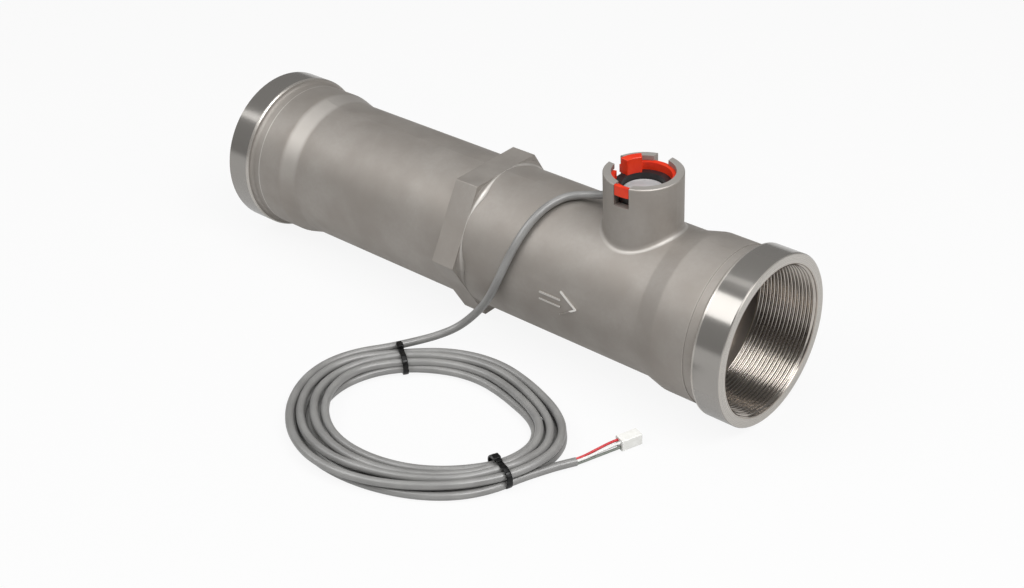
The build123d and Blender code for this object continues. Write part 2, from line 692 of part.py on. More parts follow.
with BuildPart() as probe_o_ring:
    with BuildSketch(SOCKET_PLANE):
        with Locations((groove_bottom_r + O_RING_SECTION_R + SOFT_FIT, O_RING_Z)):
            Circle(O_RING_SECTION_R)
    revolve(axis=SOCKET_AXIS)
save(probe_o_ring.part, "probe_o_ring")

with BuildPart() as probe_cap:
    cap_r = CUP_R - SLIDE_FIT
    cap_top_z = CUP_FLOOR_Z + CAP_THICKNESS
    with BuildSketch(SOCKET_PLANE):
        with BuildLine():
            Polyline(
                (0, CUP_FLOOR_Z),
                (cap_r, CUP_FLOOR_Z),
                (cap_r, cap_top_z),
                (cap_r - CAP_LIP_HEIGHT, cap_top_z + CAP_LIP_HEIGHT),
                (cap_r - CAP_LIP, cap_top_z + CAP_LIP_HEIGHT),
                (cap_r - CAP_LIP - CAP_LIP_HEIGHT, cap_top_z),
                (0, cap_top_z),
                close=True,
            )
        make_face()
    revolve(axis=SOCKET_AXIS)
save(probe_cap.part, "probe_cap")

# Circuit board, sensor chip and lead wires inside the probe
board_bottom_z = CAVITY_FLOOR_Z + BOARD_LIFT
with BuildPart() as probe_board:
    with BuildSketch(Plane(origin=(SOCKET_X, 0, board_bottom_z), x_dir=(1, 0, 0), z_dir=(0, 0, 1))):
        Rectangle(BOARD_THICKNESS, BOARD_WIDTH)
    extrude(amount=CUP_FLOOR_Z - BOARD_COVER - board_bottom_z)
save(probe_board.part, "probe_board")

with BuildPart() as pulse_sensor:
    chip_x = SOCKET_X + BOARD_THICKNESS / 2 + CHIP_THICKNESS / 2
    with BuildSketch(Plane(origin=(chip_x, 0, board_bottom_z + SLIDE_FIT), x_dir=(1, 0, 0), z_dir=(0, 0, 1))):
        Rectangle(CHIP_THICKNESS, CHIP_WIDTH)
    extrude(amount=CHIP_HEIGHT)
    fillet(pulse_sensor.edges().filter_by(Axis.Z).group_by(Axis.X)[-1], CHIP_EDGE)
save(pulse_sensor.part, "pulse_sensor")

lead_start_x = SOCKET_X - BOARD_THICKNESS / 2
with BuildPart() as probe_leads:
    for offset in (-BOARD_LEAD_PITCH, 0, BOARD_LEAD_PITCH):
        lead_plane = Plane(origin=(lead_start_x, boot_start.Y + offset, boot_start.Z), z_dir=(-1, 0, 0))
        with BuildSketch(lead_plane):
            Circle(BOARD_LEAD_R)
        extrude(amount=lead_start_x - boot_start.X - BOARD_LEAD_R - SLIDE_FIT)
save(probe_leads.part, "probe_leads")

# Potting round the board up to just below the cap
with BuildPart() as potting_block:
    with BuildSketch(Plane.XY.offset(CAVITY_FLOOR_Z)):
        with Locations((SOCKET_X, 0)):
            Circle(CAVITY_R - SOFT_FIT)
    extrude(amount=CUP_FLOOR_Z - POTTING_DROP - CAVITY_FLOOR_Z)
probe_potting = potting_block.part - probe_board.part - pulse_sensor.part - probe_leads.part
save(probe_potting, "probe_potting")

# Rubber strain relief where the cable leaves the probe
with BuildPart() as strain_relief:
    with BuildSketch(boot_plane):
        Circle(BOOT_ROOT_R)
    with BuildSketch(boot_plane.offset(BOOT_LENGTH)):
        Circle(BOOT_END_R)
    loft()
save(strain_relief.part, "strain_relief")

# Red spring clip that holds the probe down
clip_plane = Plane.XY.offset(FLANGE_TOP_Z)


def sector(inner_r, outer_r, start_angle, end_angle):
    """Flat ring sector about the socket's axis."""
    with BuildSketch(mode=Mode.PRIVATE) as piece:
        with BuildLine():
            CenterArc((SOCKET_X, 0), outer_r, start_angle, end_angle - start_angle)
            Line(polar(outer_r, end_angle), polar(inner_r, end_angle))
            CenterArc((SOCKET_X, 0), inner_r, end_angle, start_angle - end_angle)
            Line(polar(inner_r, start_angle), polar(outer_r, start_angle))
        make_face()
    return piece.sketch_local


with BuildPart() as retaining_clip:
    with BuildSketch(clip_plane):
        add(sector(CLIP_INNER_R, CLIP_OUTER_R, CLIP_END_ANGLE, GRIP_END_ANGLE))
    extrude(amount=CLIP_THICKNESS)
    with BuildSketch(clip_plane):
        add(sector(GRIP_INNER_R, SOCKET_BORE_R - GRIP_GAP, GRIP_START_ANGLE, GRIP_END_ANGLE))
    extrude(amount=GRIP_HEIGHT)
    lug_turn = math.radians(FRONT_NOTCH_ANGLE)
    lug_plane = Plane(
        origin=(SOCKET_X, 0, SOCKET_RIM_Z - LUG_HEIGHT),
        x_dir=(math.cos(lug_turn), math.sin(lug_turn), 0),
        z_dir=(0, 0, 1),
    )
    with BuildSketch(lug_plane):
        with Locations(((CLIP_INNER_R + SOCKET_R) / 2, 0)):
            Rectangle(SOCKET_R - CLIP_INNER_R, NOTCH_WIDTH - 2 * CLIP_PLAY)
    extrude(amount=FLANGE_TOP_Z + CLIP_THICKNESS - SOCKET_RIM_Z + LUG_HEIGHT)
    with BuildSketch(lug_plane):
        with Locations((SOCKET_R - LUG_WALL / 2, 0)):
            Rectangle(LUG_WALL, NOTCH_WIDTH - 2 * CLIP_PLAY)
    extrude(amount=LUG_HEIGHT)
    with BuildSketch(clip_plane):
        with Locations((SOCKET_X, 0)):
            Circle(SOCKET_R)
    extrude(amount=GRIP_HEIGHT, mode=Mode.INTERSECT)
    fillet(retaining_clip.edges().filter_by(Axis.Z), CLIP_EDGE)
    chamfer(retaining_clip.faces().sort_by(Axis.Z)[-1].edges(), CLIP_EDGE)
save(retaining_clip.part, "retaining_clip")


def make_cable(points, section_r):
    """Cable tube along a route of straight runs joined by tangent arcs."""
    with BuildPart() as tube:
        with BuildLine():
            path = FilletPolyline(*points, radius=route_radii(points))
        start_dir = Vector(*points[1]) - Vector(*points[0])
        with BuildSketch(Plane(origin=points[0], z_dir=start_dir)):
            Circle(section_r)
        sweep(path=path)
    return tube.part


with BuildPart() as cable_coil:
    with BuildSketch(Plane.XY.offset(COIL_BOTTOM_Z)):
        with Locations(COIL_CENTRE):
            Ellipse(COIL_HALF_LENGTH, COIL_HALF_WIDTH, rotation=COIL_TURN)
            Ellipse(
                COIL_HALF_LENGTH - COIL_WIDTH,
                COIL_HALF_WIDTH - COIL_WIDTH,
                rotation=COIL_TURN,
                mode=Mode.SUBTRACT,
            )
    extrude(amount=COIL_HEIGHT)
    fillet(cable_coil.faces().filter_by(Axis.Z).edges(), COIL_EDGE)
save(cable_coil.part, "cable_coil")

# The two loose runs of cable end on the coil's skin
lead_route = [tuple(BOOT_END)] + [round_pipe(*place) for place in OVER_PIPE]
lead_route += [(COIL_CENTRE.X + x, COIL_CENTRE.Y + y, z) for x, y, z in LEAD_TO_COIL]
lead_tube = make_cable(lead_route, CABLE_R)
report_tube("cable_lead", lead_tube, lead_route, CABLE_R)
save(lead_tube - cable_coil.part, "cable_lead")
tail_route = [(COIL_CENTRE.X + x, COIL_CENTRE.Y + y, CABLE_R) for x, y in TAIL_STEPS]
tail_tube = make_cable(tail_route, CABLE_R)
report_tube("cable_tail", tail_tube, tail_route, CABLE_R)
save(tail_tube - cable_coil.part, "cable_tail")


def make_tie(angle):
    """Tie band round the coil at an angle of the coil's own ellipse, with a small head."""
    turn = math.radians(angle)
    half_a = COIL_HALF_LENGTH - COIL_WIDTH / 2
    half_b = COIL_HALF_WIDTH - COIL_WIDTH / 2
    along = Vector(half_a * math.cos(turn), half_b * math.sin(turn)).rotate(Axis.Z, COIL_TURN)
    heading = Vector(-half_a * math.sin(turn), half_b * math.cos(turn)).rotate(Axis.Z, COIL_TURN).normalized()
    centre = COIL_CENTRE + along + Vector(0, 0, COIL_BOTTOM_Z + COIL_HEIGHT / 2)
    across = Vector(0, 0, 1).cross(heading)
    band = Plane(origin=centre - heading * (TIE_WIDTH / 2), x_dir=across, z_dir=heading)
    inside_w = COIL_WIDTH + 2 * TIE_PLAY
    inside_h = COIL_HEIGHT + 2 * TIE_PLAY
    with BuildPart() as tie:
        with BuildSketch(band):
            RectangleRounded(inside_w + 2 * TIE_THICKNESS, inside_h + 2 * TIE_THICKNESS, COIL_EDGE + TIE_THICKNESS)
            RectangleRounded(inside_w, inside_h, COIL_EDGE, mode=Mode.SUBTRACT)
        extrude(amount=TIE_WIDTH)
        with BuildSketch(band):
            with Locations((0, inside_h / 2 + TIE_HEAD / 2)):
                Rectangle(TIE_HEAD, TIE_HEAD)
        extrude(amount=TIE_WIDTH)
    return tie.part


save(make_tie(FIRST_TIE_ANGLE), "first_cable_tie")
save(make_tie(SECOND_TIE_ANGLE), "second_cable_tie")

# Connector housing, its contacts and the four wires from the cable
plug_turn = math.radians(PLUG_ANGLE)
plug_dir = Vector(math.cos(plug_turn), math.sin(plug_turn), 0)
plug_middle = COIL_CENTRE + Vector(*PLUG_STEP, PLUG_SIDE / 2)
plug_start = plug_middle - plug_dir * (PLUG_LENGTH / 2)
plug_back = Plane(origin=plug_start, x_dir=Vector(0, 0, 1).cross(plug_dir), z_dir=plug_dir)
pin_places = [(-PIN_PITCH / 2, PIN_PITCH / 2), (PIN_PITCH / 2, PIN_PITCH / 2)]
pin_places += [(-PIN_PITCH / 2, -PIN_PITCH / 2), (PIN_PITCH / 2, -PIN_PITCH / 2)]
with BuildPart() as connector_housing:
    with BuildSketch(plug_back):
        Rectangle(PLUG_SIDE, PLUG_SIDE)
    extrude(amount=PLUG_LENGTH)
    chamfer(connector_housing.edges().filter_by(Axis((0, 0, 0), plug_dir)), PLUG_EDGE)
    with BuildSketch(plug_back):
        with Locations(*pin_places):
            Circle(WIRE_HOLE_R)
    extrude(amount=WIRE_HOLE_DEPTH, mode=Mode.SUBTRACT)
    with BuildSketch(plug_back.offset(WIRE_HOLE_DEPTH)):
        with Locations(*pin_places):
            Rectangle(CONTACT_SIDE + 2 * CONTACT_PLAY, CONTACT_SIDE + 2 * CONTACT_PLAY)
    extrude(amount=PLUG_LENGTH - WIRE_HOLE_DEPTH, mode=Mode.SUBTRACT)
save(connector_housing.part, "connector_housing")

with BuildPart() as connector_contacts:
    with BuildSketch(plug_back.offset(WIRE_HOLE_DEPTH)):
        with Locations(*pin_places):
            Rectangle(CONTACT_SIDE, CONTACT_SIDE)
    extrude(amount=CONTACT_LENGTH)
    with BuildSketch(plug_back.offset(WIRE_HOLE_DEPTH + CONTACT_LENGTH - CONTACT_RECESS)):
        with Locations(*pin_places):
            Circle(CONTACT_SIDE / 3)
    extrude(amount=CONTACT_RECESS, mode=Mode.SUBTRACT)
save(connector_contacts.part, "connector_contacts")

jacket_end = Vector(*tail_route[-1])
jacket_dir = (jacket_end - Vector(*tail_route[-2])).normalized()
jacket_side = Vector(0, 0, 1).cross(jacket_dir)
wire_colours = ["white_wire", "red_wire", "green_wire", "black_wire"]
for colour, (side, up) in zip(wire_colours, pin_places):
    side_sign = math.copysign(1, side)
    up_sign = math.copysign(1, up)
    ring_step = WIRE_RING_R / math.sqrt(2)
    start = jacket_end + jacket_side * (ring_step * side_sign) + Vector(0, 0, ring_step * up_sign)
    finish = plug_back.from_local_coords(Vector(side, up, WIRE_HOLE_DEPTH))
    first = start + jacket_dir * WIRE_STRAIGHT
    second = finish - plug_dir * (WIRE_HOLE_DEPTH + WIRE_STRAIGHT)
    save(make_cable([tuple(p) for p in (start, first, second, finish)], WIRE_R), colour)
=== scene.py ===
import logging
import math
from dataclasses import dataclass
from enum import Enum

import bmesh
import bpy
import numpy as np
from mathutils import Matrix, Vector


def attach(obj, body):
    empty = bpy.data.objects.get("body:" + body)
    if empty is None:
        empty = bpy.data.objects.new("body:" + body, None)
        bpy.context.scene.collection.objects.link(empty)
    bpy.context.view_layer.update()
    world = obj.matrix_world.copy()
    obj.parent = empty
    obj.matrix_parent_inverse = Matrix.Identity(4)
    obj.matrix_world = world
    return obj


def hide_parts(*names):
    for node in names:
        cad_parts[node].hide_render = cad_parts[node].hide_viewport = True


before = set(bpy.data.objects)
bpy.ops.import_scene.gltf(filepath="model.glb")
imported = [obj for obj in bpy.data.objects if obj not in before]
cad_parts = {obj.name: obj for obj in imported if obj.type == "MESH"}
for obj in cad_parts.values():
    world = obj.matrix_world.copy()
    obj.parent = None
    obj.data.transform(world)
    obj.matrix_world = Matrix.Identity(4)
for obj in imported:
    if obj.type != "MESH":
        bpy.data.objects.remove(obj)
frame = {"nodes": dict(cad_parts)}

log = logging.getLogger("water_meter")

MM = 0.001
AXIS_Z = 0.05  # height of the pipe's axis over the floor, in metres

Pair = tuple[float, float]
Triple = tuple[float, float, float]
Ramp = tuple[float, float, float, float]
Socket = bpy.types.NodeSocket


class Facing(Enum):
    """Which way along the pipe a mouth or an end face looks, as the sign of x."""

    DOWNSTREAM = 1.0
    UPSTREAM = -1.0


class Graph:
    """A material's node tree, with short calls that add nodes and join their sockets."""

    def __init__(self, name: str) -> None:
        """Start an empty principled material.

        Args:
            name: The material's name.
        """
        self.material = bpy.data.materials.new(name)
        self.material.use_nodes = True
        self.tree = self.material.node_tree
        self.shader = self.tree.nodes["Principled BSDF"]
        self.place = self.add("ShaderNodeTexCoord").outputs["Object"]

    def feed(self, socket: Socket, value: object) -> None:
        """Link an output to an input, or set a plain value there.

        Args:
            socket: The input.
            value: An output, a number, or a colour, which gets an alpha of 1.
        """
        if isinstance(value, Socket):
            self.tree.links.new(value, socket)
        else:
            socket.default_value = (*value, 1.0) if isinstance(value, tuple) else value

    def add(self, kind: str, sockets: dict | None = None, **settings: object) -> bpy.types.Node:
        """Add one node.

        Args:
            kind: Blender's name of the node type.
            sockets: Values or output sockets for its inputs, by name or number.
            settings: The node's own attributes.

        Returns:
            The new node.
        """
        node = self.tree.nodes.new(kind)
        for key, value in settings.items():
            setattr(node, key, value)
        for key, value in (sockets or {}).items():
            self.feed(node.inputs[key], value)
        return node

    def math(self, operation: str, first: object, *others: object) -> Socket:
        """Join values from left to right with math nodes of one kind.

        Args:
            operation: Blender's name of the operation.
            first: The first value or socket.
            others: The values that follow, none for an operation on one value.

        Returns:
            The last node's result.
        """
        result = first
        for other in others or (0.0,):
            node = self.add("ShaderNodeMath", {0: result, 1: other}, operation=operation)
            result = node.outputs[0]
        return result

    def product(self, *values: object) -> Socket:
        """Return the product of values or sockets."""
        return self.math("MULTIPLY", *values)

    def greatest(self, *values: object) -> Socket:
        """Return the greatest of values or sockets."""
        return self.math("MAXIMUM", *values)

    def distance(self, first: Socket, second: Socket) -> Socket:
        """Return the root of the sum of two squares."""
        squares = self.math("ADD", self.product(first, first), self.product(second, second))
        return self.math("SQRT", squares)

    def axes(self) -> tuple[Socket, ...]:
        """Return x, y and z of the place on the surface."""
        return tuple(self.add("ShaderNodeSeparateXYZ", {0: self.place}).outputs)

    def span(self, value: object, low: float, high: float,
             start: float = 0.0, end: float = 1.0) -> Socket:
        """Carry a value smoothly from one range to another.

        Args:
            value: Socket to carry over.
            low: Where the first range starts.
            high: Where the first range ends; below low, it turns the range round.
            start: Result at low.
            end: Result at high.

        Returns:
            The clamped result.
        """
        sockets = {0: value, 1: low, 2: high, 3: start, 4: end}
        node = self.add("ShaderNodeMapRange", sockets, interpolation_type="SMOOTHSTEP")
        return node.outputs[0]

    def noise(self, scale: float, detail: float) -> Socket:
        """Return a noise pattern's value, its features about one over scale across, in metres."""
        sockets = {"Vector": self.place, "Scale": scale, "Detail": detail}
        return self.add("ShaderNodeTexNoise", sockets).outputs["Fac"]

    def patches(self, scale: float, detail: float, start: float = 0.0, end: float = 1.0,
                low: float = 0.3, high: float = 0.7) -> Socket:
        """Return a noise pattern whose values from low to high are carried from start to end."""
        return self.span(self.noise(scale, detail), low, high, start, end)

    def lines(self, source: Socket, scale: float) -> Socket:
        """Return a pattern of fine tool lines that follows one value alone."""
        sockets = {"W": source, "Scale": scale, "Detail": 3.0}
        return self.add("ShaderNodeTexNoise", sockets, noise_dimensions="1D").outputs["Fac"]

    def blend(self, share: Socket, first: object, second: object) -> Socket:
        """Return a colour between two, by a share from 0 to 1."""
        sockets = {0: share, 6: first, 7: second}
        return self.add("ShaderNodeMix", sockets, data_type="RGBA").outputs[2]

    def between(self, share: Socket, first: object, second: object) -> Socket:
        """Return a plain value between two, by a share from 0 to 1."""
        sockets = {0: share, 2: first, 3: second}
        return self.add("ShaderNodeMix", sockets, data_type="FLOAT").outputs[0]

    def bump(self, height: Socket, strength: float, distance: float,
             under: Socket | None = None) -> Socket:
        """Return a normal that follows a height pattern.

        Args:
            height: The pattern.
            strength: How much of it shows, from 0 to 1.
            distance: Its height in metres.
            under: A normal that it goes on top of.

        Returns:
            The new normal.
        """
        sockets = {"Height": height, "Strength": strength, "Distance": distance}
        if under is not None:
            sockets["Normal"] = under
        return self.add("ShaderNodeBump", sockets).outputs["Normal"]

    def drive(self, **sockets: object) -> None:
        """Set or link the shader's own inputs, with underscores for spaces in their names."""
        for key, value in sockets.items():
            self.feed(self.shader.inputs[key.replace("_", " ")], value)


class PipeGraph(Graph):
    """A node tree that also gives a point's place on the pipe.

    Along is the distance from the pipe's middle, which is the size of x. Out is the distance
    from the pipe's axis: the root of y squared plus the square of z less the axis height.
    """

    def __init__(self, name: str) -> None:
        """Start the material and add the nodes of the place.

        Args:
            name: The material's name.
        """
        super().__init__(name)
        self.x, self.y, self.z = self.axes()
        self.along = self.math("ABSOLUTE", self.x)
        self.out = self.distance(self.y, self.math("SUBTRACT", self.z, AXIS_Z))


@dataclass(frozen=True)
class Moulding:
    """Plain moulded, cast or ground surface with mottled colour and a fine grain.

    The colour goes between shade and tint by a coarse noise, the roughness follows one that
    is finer by a factor, and the bump a fine grain.
    """

    name: str
    shade: Triple
    tint: Triple
    roughness: float = 0.45
    spread: float = 0.08
    metallic: float = 0.0
    mottle: float = 90.0
    finer: float = 4.0
    grain: float = 1400.0
    relief: float = 0.12
    depth: float = 0.00006
    coat: float = 0.0
    coat_roughness: float = 0.15
    gloss: float = 0.5

    def make(self) -> bpy.types.Material:
        """Return this finish as a material.

        Returns:
            The material.
        """
        graph = Graph(self.name)
        graph.drive(
            Base_Color=graph.blend(graph.patches(self.mottle, 3.0), self.shade, self.tint),
            Roughness=graph.patches(self.mottle * self.finer, 3.0,
                                    self.roughness - self.spread, self.roughness + self.spread),
            Metallic=self.metallic,
            Coat_Weight=self.coat,
            Coat_Roughness=self.coat_roughness,
            Specular_IOR_Level=self.gloss,
            Normal=graph.bump(graph.noise(self.grain, 2.0), self.relief, self.depth),
        )
        return graph.material


@dataclass(frozen=True)
class TurnedMetal:
    """Bright metal with fine tool lines round the pipe's axis.

    The lines follow the place along the pipe. The roughness goes with them between two
    shares of its value, smooth and matt.
    """

    name: str
    shade: Triple
    tint: Triple
    roughness: float
    smooth: float = 0.75
    matt: float = 1.3
    line_scale: float = 2600.0
    patch_scale: float = 60.0
    relief: float = 0.08
    depth: float = 0.00005

    def make(self) -> bpy.types.Material:
        """Make this finish.

        Returns:
            The material.
        """
        graph = Graph(self.name)
        lines = graph.lines(graph.axes()[0], self.line_scale)
        graph.drive(
            Base_Color=graph.blend(graph.patches(self.patch_scale, 3.0), self.shade, self.tint),
            Roughness=graph.span(lines, 0.25, 0.75,
                                 self.roughness * self.smooth, self.roughness * self.matt),
            Metallic=1.0,
            Normal=graph.bump(lines, self.relief, self.depth),
        )
        return graph.material


@dataclass(frozen=True)
class CastBody:
    """Finish of the one-piece body: blasted casting, polished end rings, bored inside, worn arrow
    ribs, and painted highlights on the arrow's head, the turned steps, the hexagon's fillet, the
    inlet cone and the socket's root.

    Each zone is a mask from 0 to 1, by the place along the pipe, the height and the distance
    from the pipe's axis. An edge is where its mask starts and where it is full, a highlight ramp
    is two places and the shares of painted highlight at them, and a reach is the distances from
    a middle at which the mask starts and is full. Lengths are in metres, and scales in features a
    metre.
    """

    name: str = "blasted_cast_steel"
    cast_shade: Triple = (0.335, 0.308, 0.28)
    cast_tint: Triple = (0.39, 0.365, 0.338)
    ring_metal: Triple = (0.33, 0.316, 0.296)
    face_metal: Triple = (0.50, 0.475, 0.44)
    bore_metal: Triple = (0.50, 0.45, 0.40)
    wear_and_highlight_metal: Triple = (0.80, 0.78, 0.745)
    metallic: float = 0.7
    cast_roughness: Pair = (0.565, 0.655)
    ring_roughness: Pair = (0.12, 0.18)
    face_roughness: Pair = (0.24, 0.32)
    wear_and_highlight_roughness: float = 0.33
    bore_roughness: float = 0.36
    cloud_scale: float = 38.0
    fleck_scale: float = 420.0
    fleck_share: float = 0.35
    rough_scale: float = 55.0
    ring_lines: float = 1500.0
    face_lines: float = 2400.0
    blast_scale: float = 1500.0
    blast_relief: Pair = (0.16, 0.00007)
    wave_scale: float = 75.0
    wave_relief: Pair = (0.35, 0.00035)
    ring_calm: float = 0.85
    line_values: Pair = (0.3, 0.7)
    ring_edge: Pair = (0.17445, 0.17465)
    shoulder_edge: Pair = (0.17665, 0.17605)
    shoulder_radius: float = 0.0467
    face_edge: Pair = (0.19235, 0.19275)
    mouth_edge: Pair = (0.1466, 0.1467)
    wall_radii: Pair = (0.0405, 0.0443)
    inside_edge: Pair = (0.0001, -0.0001)
    arrow_x: Pair = (0.0655, 0.0940)
    arrow_y: float = -0.03
    arrow_edge: Pair = (0.04385, 0.04415)
    arrow_head_x: float = 0.0814
    arrow_middle_z: float = 0.0507
    arrow_shaft_wear_and_highlight: float = 0.55
    step_x: float = 0.1675
    step_reach: Pair = (0.0007, 0.0003)
    step_highlight: Ramp = (-0.001, 0.001, 0.6, 0.12)
    rim_edge: Pair = (0.12545, 0.12565)
    rim_wear: float = 0.3
    cone_x: float = -0.1425
    cone_reach: Pair = (0.0068, 0.0035)
    cone_highlight: Ramp = (0.045, 0.080, 0.0, 0.24)
    hexagon_x_edges: tuple[Pair, Pair] = ((0.0052, 0.0055), (0.0097, 0.0063))
    hexagon_out_edges: tuple[Pair, Pair] = ((0.04362, 0.0437), (0.0451, 0.0442))
    hexagon_highlight: Ramp = (0.025, 0.075, 0.05, 0.5)
    socket_x: float = 0.1065
    root_edges: tuple[Pair, Pair] = ((0.0227, 0.0235), (0.0250, 0.0240))
    root_z: float = 0.06
    root_highlight: Ramp = (-0.018, 0.008, 0.08, 0.32)

    def make(self) -> bpy.types.Material:
        """Make this finish: each zone in turn covers what lies under it.

        Returns:
            The material.
        """
        graph = PipeGraph(self.name)
        ring = graph.span(graph.along, *self.ring_edge)
        # The shoulder band takes the faced finish: rougher, and lighter as a painted highlight
        # along its bevel.
        shoulder = graph.product(ring, graph.span(graph.along, *self.shoulder_edge),
                                 graph.math("GREATER_THAN", graph.out, self.shoulder_radius))
        face = graph.greatest(graph.span(graph.along, *self.face_edge), shoulder)
        wall = graph.span(graph.along, *self.mouth_edge, *self.wall_radii)
        inside = graph.span(graph.math("SUBTRACT", graph.out, wall), *self.inside_edge)
        # The light worn colour: real wear on the arrow's ribs and the socket's rim, and painted
        # highlights on the arrow's head, the turned steps, the socket's root, the hexagon's fillet
        # and the inlet cone.
        wear_and_highlight = graph.greatest(self.arrow_mask(graph), self.edge_mask(graph), self.root_mask(graph),
                              self.hexagon_mask(graph), self.cone_mask(graph))
        turned = graph.lines(graph.x, self.ring_lines)
        faced = graph.lines(graph.out, self.face_lines)

        fleck = graph.patches(self.fleck_scale, 3.0, 0.0, self.fleck_share, 0.2, 0.8)
        cloud = graph.patches(self.cloud_scale, 4.0)
        colour = graph.blend(cloud, self.cast_shade, self.cast_tint)
        colour = graph.blend(fleck, colour, self.cast_shade)
        rough = graph.patches(self.rough_scale, 4.0, *self.cast_roughness)
        for zone, metal, roughness in (
            (wear_and_highlight, self.wear_and_highlight_metal, self.wear_and_highlight_roughness),
            (ring, self.ring_metal, graph.span(turned, *self.line_values, *self.ring_roughness)),
            (face, self.face_metal, graph.span(faced, *self.line_values, *self.face_roughness)),
            (inside, self.bore_metal, self.bore_roughness),
        ):
            colour = graph.blend(zone, colour, metal)
            rough = graph.between(zone, rough, roughness)

        height = graph.between(ring, graph.noise(self.blast_scale, 2.0), turned)
        height = graph.between(face, height, faced)
        calm = graph.math("SUBTRACT", 1.0, graph.product(ring, self.ring_calm))
        waves = graph.product(graph.noise(self.wave_scale, 2.0), calm)
        normal = graph.bump(height, *self.blast_relief)
        normal = graph.bump(waves, *self.wave_relief, normal)
        graph.drive(Base_Color=colour, Roughness=rough, Metallic=self.metallic, Normal=normal)
        return graph.material

    def arrow_mask(self, graph: PipeGraph) -> Socket:
        """Work out the arrow ribs' light colour: worn ribs, with a painted highlight fullest on the
        head's upper stroke and none on its lower stroke, which faces away from the light.

        Args:
            graph: The body's graph.

        Returns:
            The share of wear.
        """
        start, end = self.arrow_x
        from_start = graph.math("GREATER_THAN", graph.x, start)
        to_end = graph.math("LESS_THAN", graph.x, end)
        near_side = graph.math("LESS_THAN", graph.y, self.arrow_y)
        raised = graph.span(graph.out, *self.arrow_edge)
        # Painted highlight: the head's upper stroke is full, the shaft gets a share, and the head's
        # lower stroke, which faces away from the light, gets none.
        head = graph.math("GREATER_THAN", graph.x, self.arrow_head_x)
        low = graph.math("LESS_THAN", graph.z, self.arrow_middle_z)
        strokes = graph.span(head, 0.0, 1.0, self.arrow_shaft_wear_and_highlight, 1.0)
        lit_strokes = graph.math("SUBTRACT", strokes, graph.product(head, low))
        return graph.product(from_start, to_end, near_side, raised, lit_strokes)

    def edge_mask(self, graph: PipeGraph) -> Socket:
        """Work out the painted highlight on the turned steps, most at the inlet, and the wear of
        the socket's rim.

        Args:
            graph: The body's graph.

        Returns:
            The share of wear.
        """
        away = graph.math("ABSOLUTE", graph.math("SUBTRACT", graph.along, self.step_x))
        # Painted highlight on the steps, stronger at the inlet, whose step face looks towards the
        # light.
        step = graph.product(graph.span(away, *self.step_reach),
                             graph.span(graph.x, *self.step_highlight))
        rim = graph.product(graph.span(graph.z, *self.rim_edge), self.rim_wear)
        return graph.greatest(step, rim)

    def hexagon_mask(self, graph: PipeGraph) -> Socket:
        """Work out the painted highlight along the fillet at the downstream end of the hexagon
        band, stronger towards its top, where the light falls.

        Args:
            graph: The body's graph.

        Returns:
            The share of wear.
        """
        edges = [graph.span(graph.x, *edge) for edge in self.hexagon_x_edges]
        edges += [graph.span(graph.out, *edge) for edge in self.hexagon_out_edges]
        # Painted highlight, stronger higher up.
        return graph.product(*edges, graph.span(graph.z, *self.hexagon_highlight))

    def cone_mask(self, graph: PipeGraph) -> Socket:
        """Work out the small painted highlight on the upper side of the inlet's cone.

        Args:
            graph: The body's graph.

        Returns:
            The share of wear.
        """
        away = graph.math("ABSOLUTE", graph.math("SUBTRACT", graph.x, self.cone_x))
        # Painted highlight on the cone's upper side, with lower roughness.
        return graph.product(graph.span(away, *self.cone_reach),
                             graph.span(graph.z, *self.cone_highlight))

    def root_mask(self, graph: PipeGraph) -> Socket:
        """Work out the painted highlight in the hollow between the probe socket and the pipe,
        stronger downstream.

        Args:
            graph: The body's graph.

        Returns:
            The share of wear.
        """
        from_x = graph.math("SUBTRACT", graph.x, self.socket_x)
        reach = graph.distance(from_x, graph.y)
        ring = [graph.span(reach, *edge) for edge in self.root_edges]
        above = graph.math("GREATER_THAN", graph.z, self.root_z)
        # Painted highlight, growing downstream on the lit side.
        return graph.product(*ring, above, graph.span(from_x, *self.root_highlight))


@dataclass(frozen=True)
class CableJacket:
    """Soft grey cable jacket, paler where it was handled, with a faint extrusion ripple.

    The ripple and the grain each have a scale, and a relief of strength and height in metres.
    """

    name: str = "grey_jacket"
    shade: Triple = (0.205, 0.203, 0.198)
    tint: Triple = (0.255, 0.253, 0.246)
    roughness: Pair = (0.31, 0.38)
    gloss: float = 0.85
    patch_scale: float = 70.0
    rough_scale: float = 180.0
    ripple_scale: float = 90.0
    ripple_relief: Pair = (0.3, 0.0003)
    grain_scale: float = 2600.0
    grain_relief: Pair = (0.08, 0.00004)

    def make(self) -> bpy.types.Material:
        """Make this finish.

        Returns:
            The material.
        """
        graph = Graph(self.name)
        patch = graph.patches(self.patch_scale, 1.0, low=0.25, high=0.75)
        ripple = graph.bump(graph.noise(self.ripple_scale, 0.0), *self.ripple_relief)
        grain = graph.noise(self.grain_scale, 2.0)
        graph.drive(
            Base_Color=graph.blend(patch, self.shade, self.tint),
            Roughness=graph.patches(self.rough_scale, 1.0, *self.roughness),
            Specular_IOR_Level=self.gloss,
            Normal=graph.bump(grain, *self.grain_relief, ripple),
        )
        return graph.material


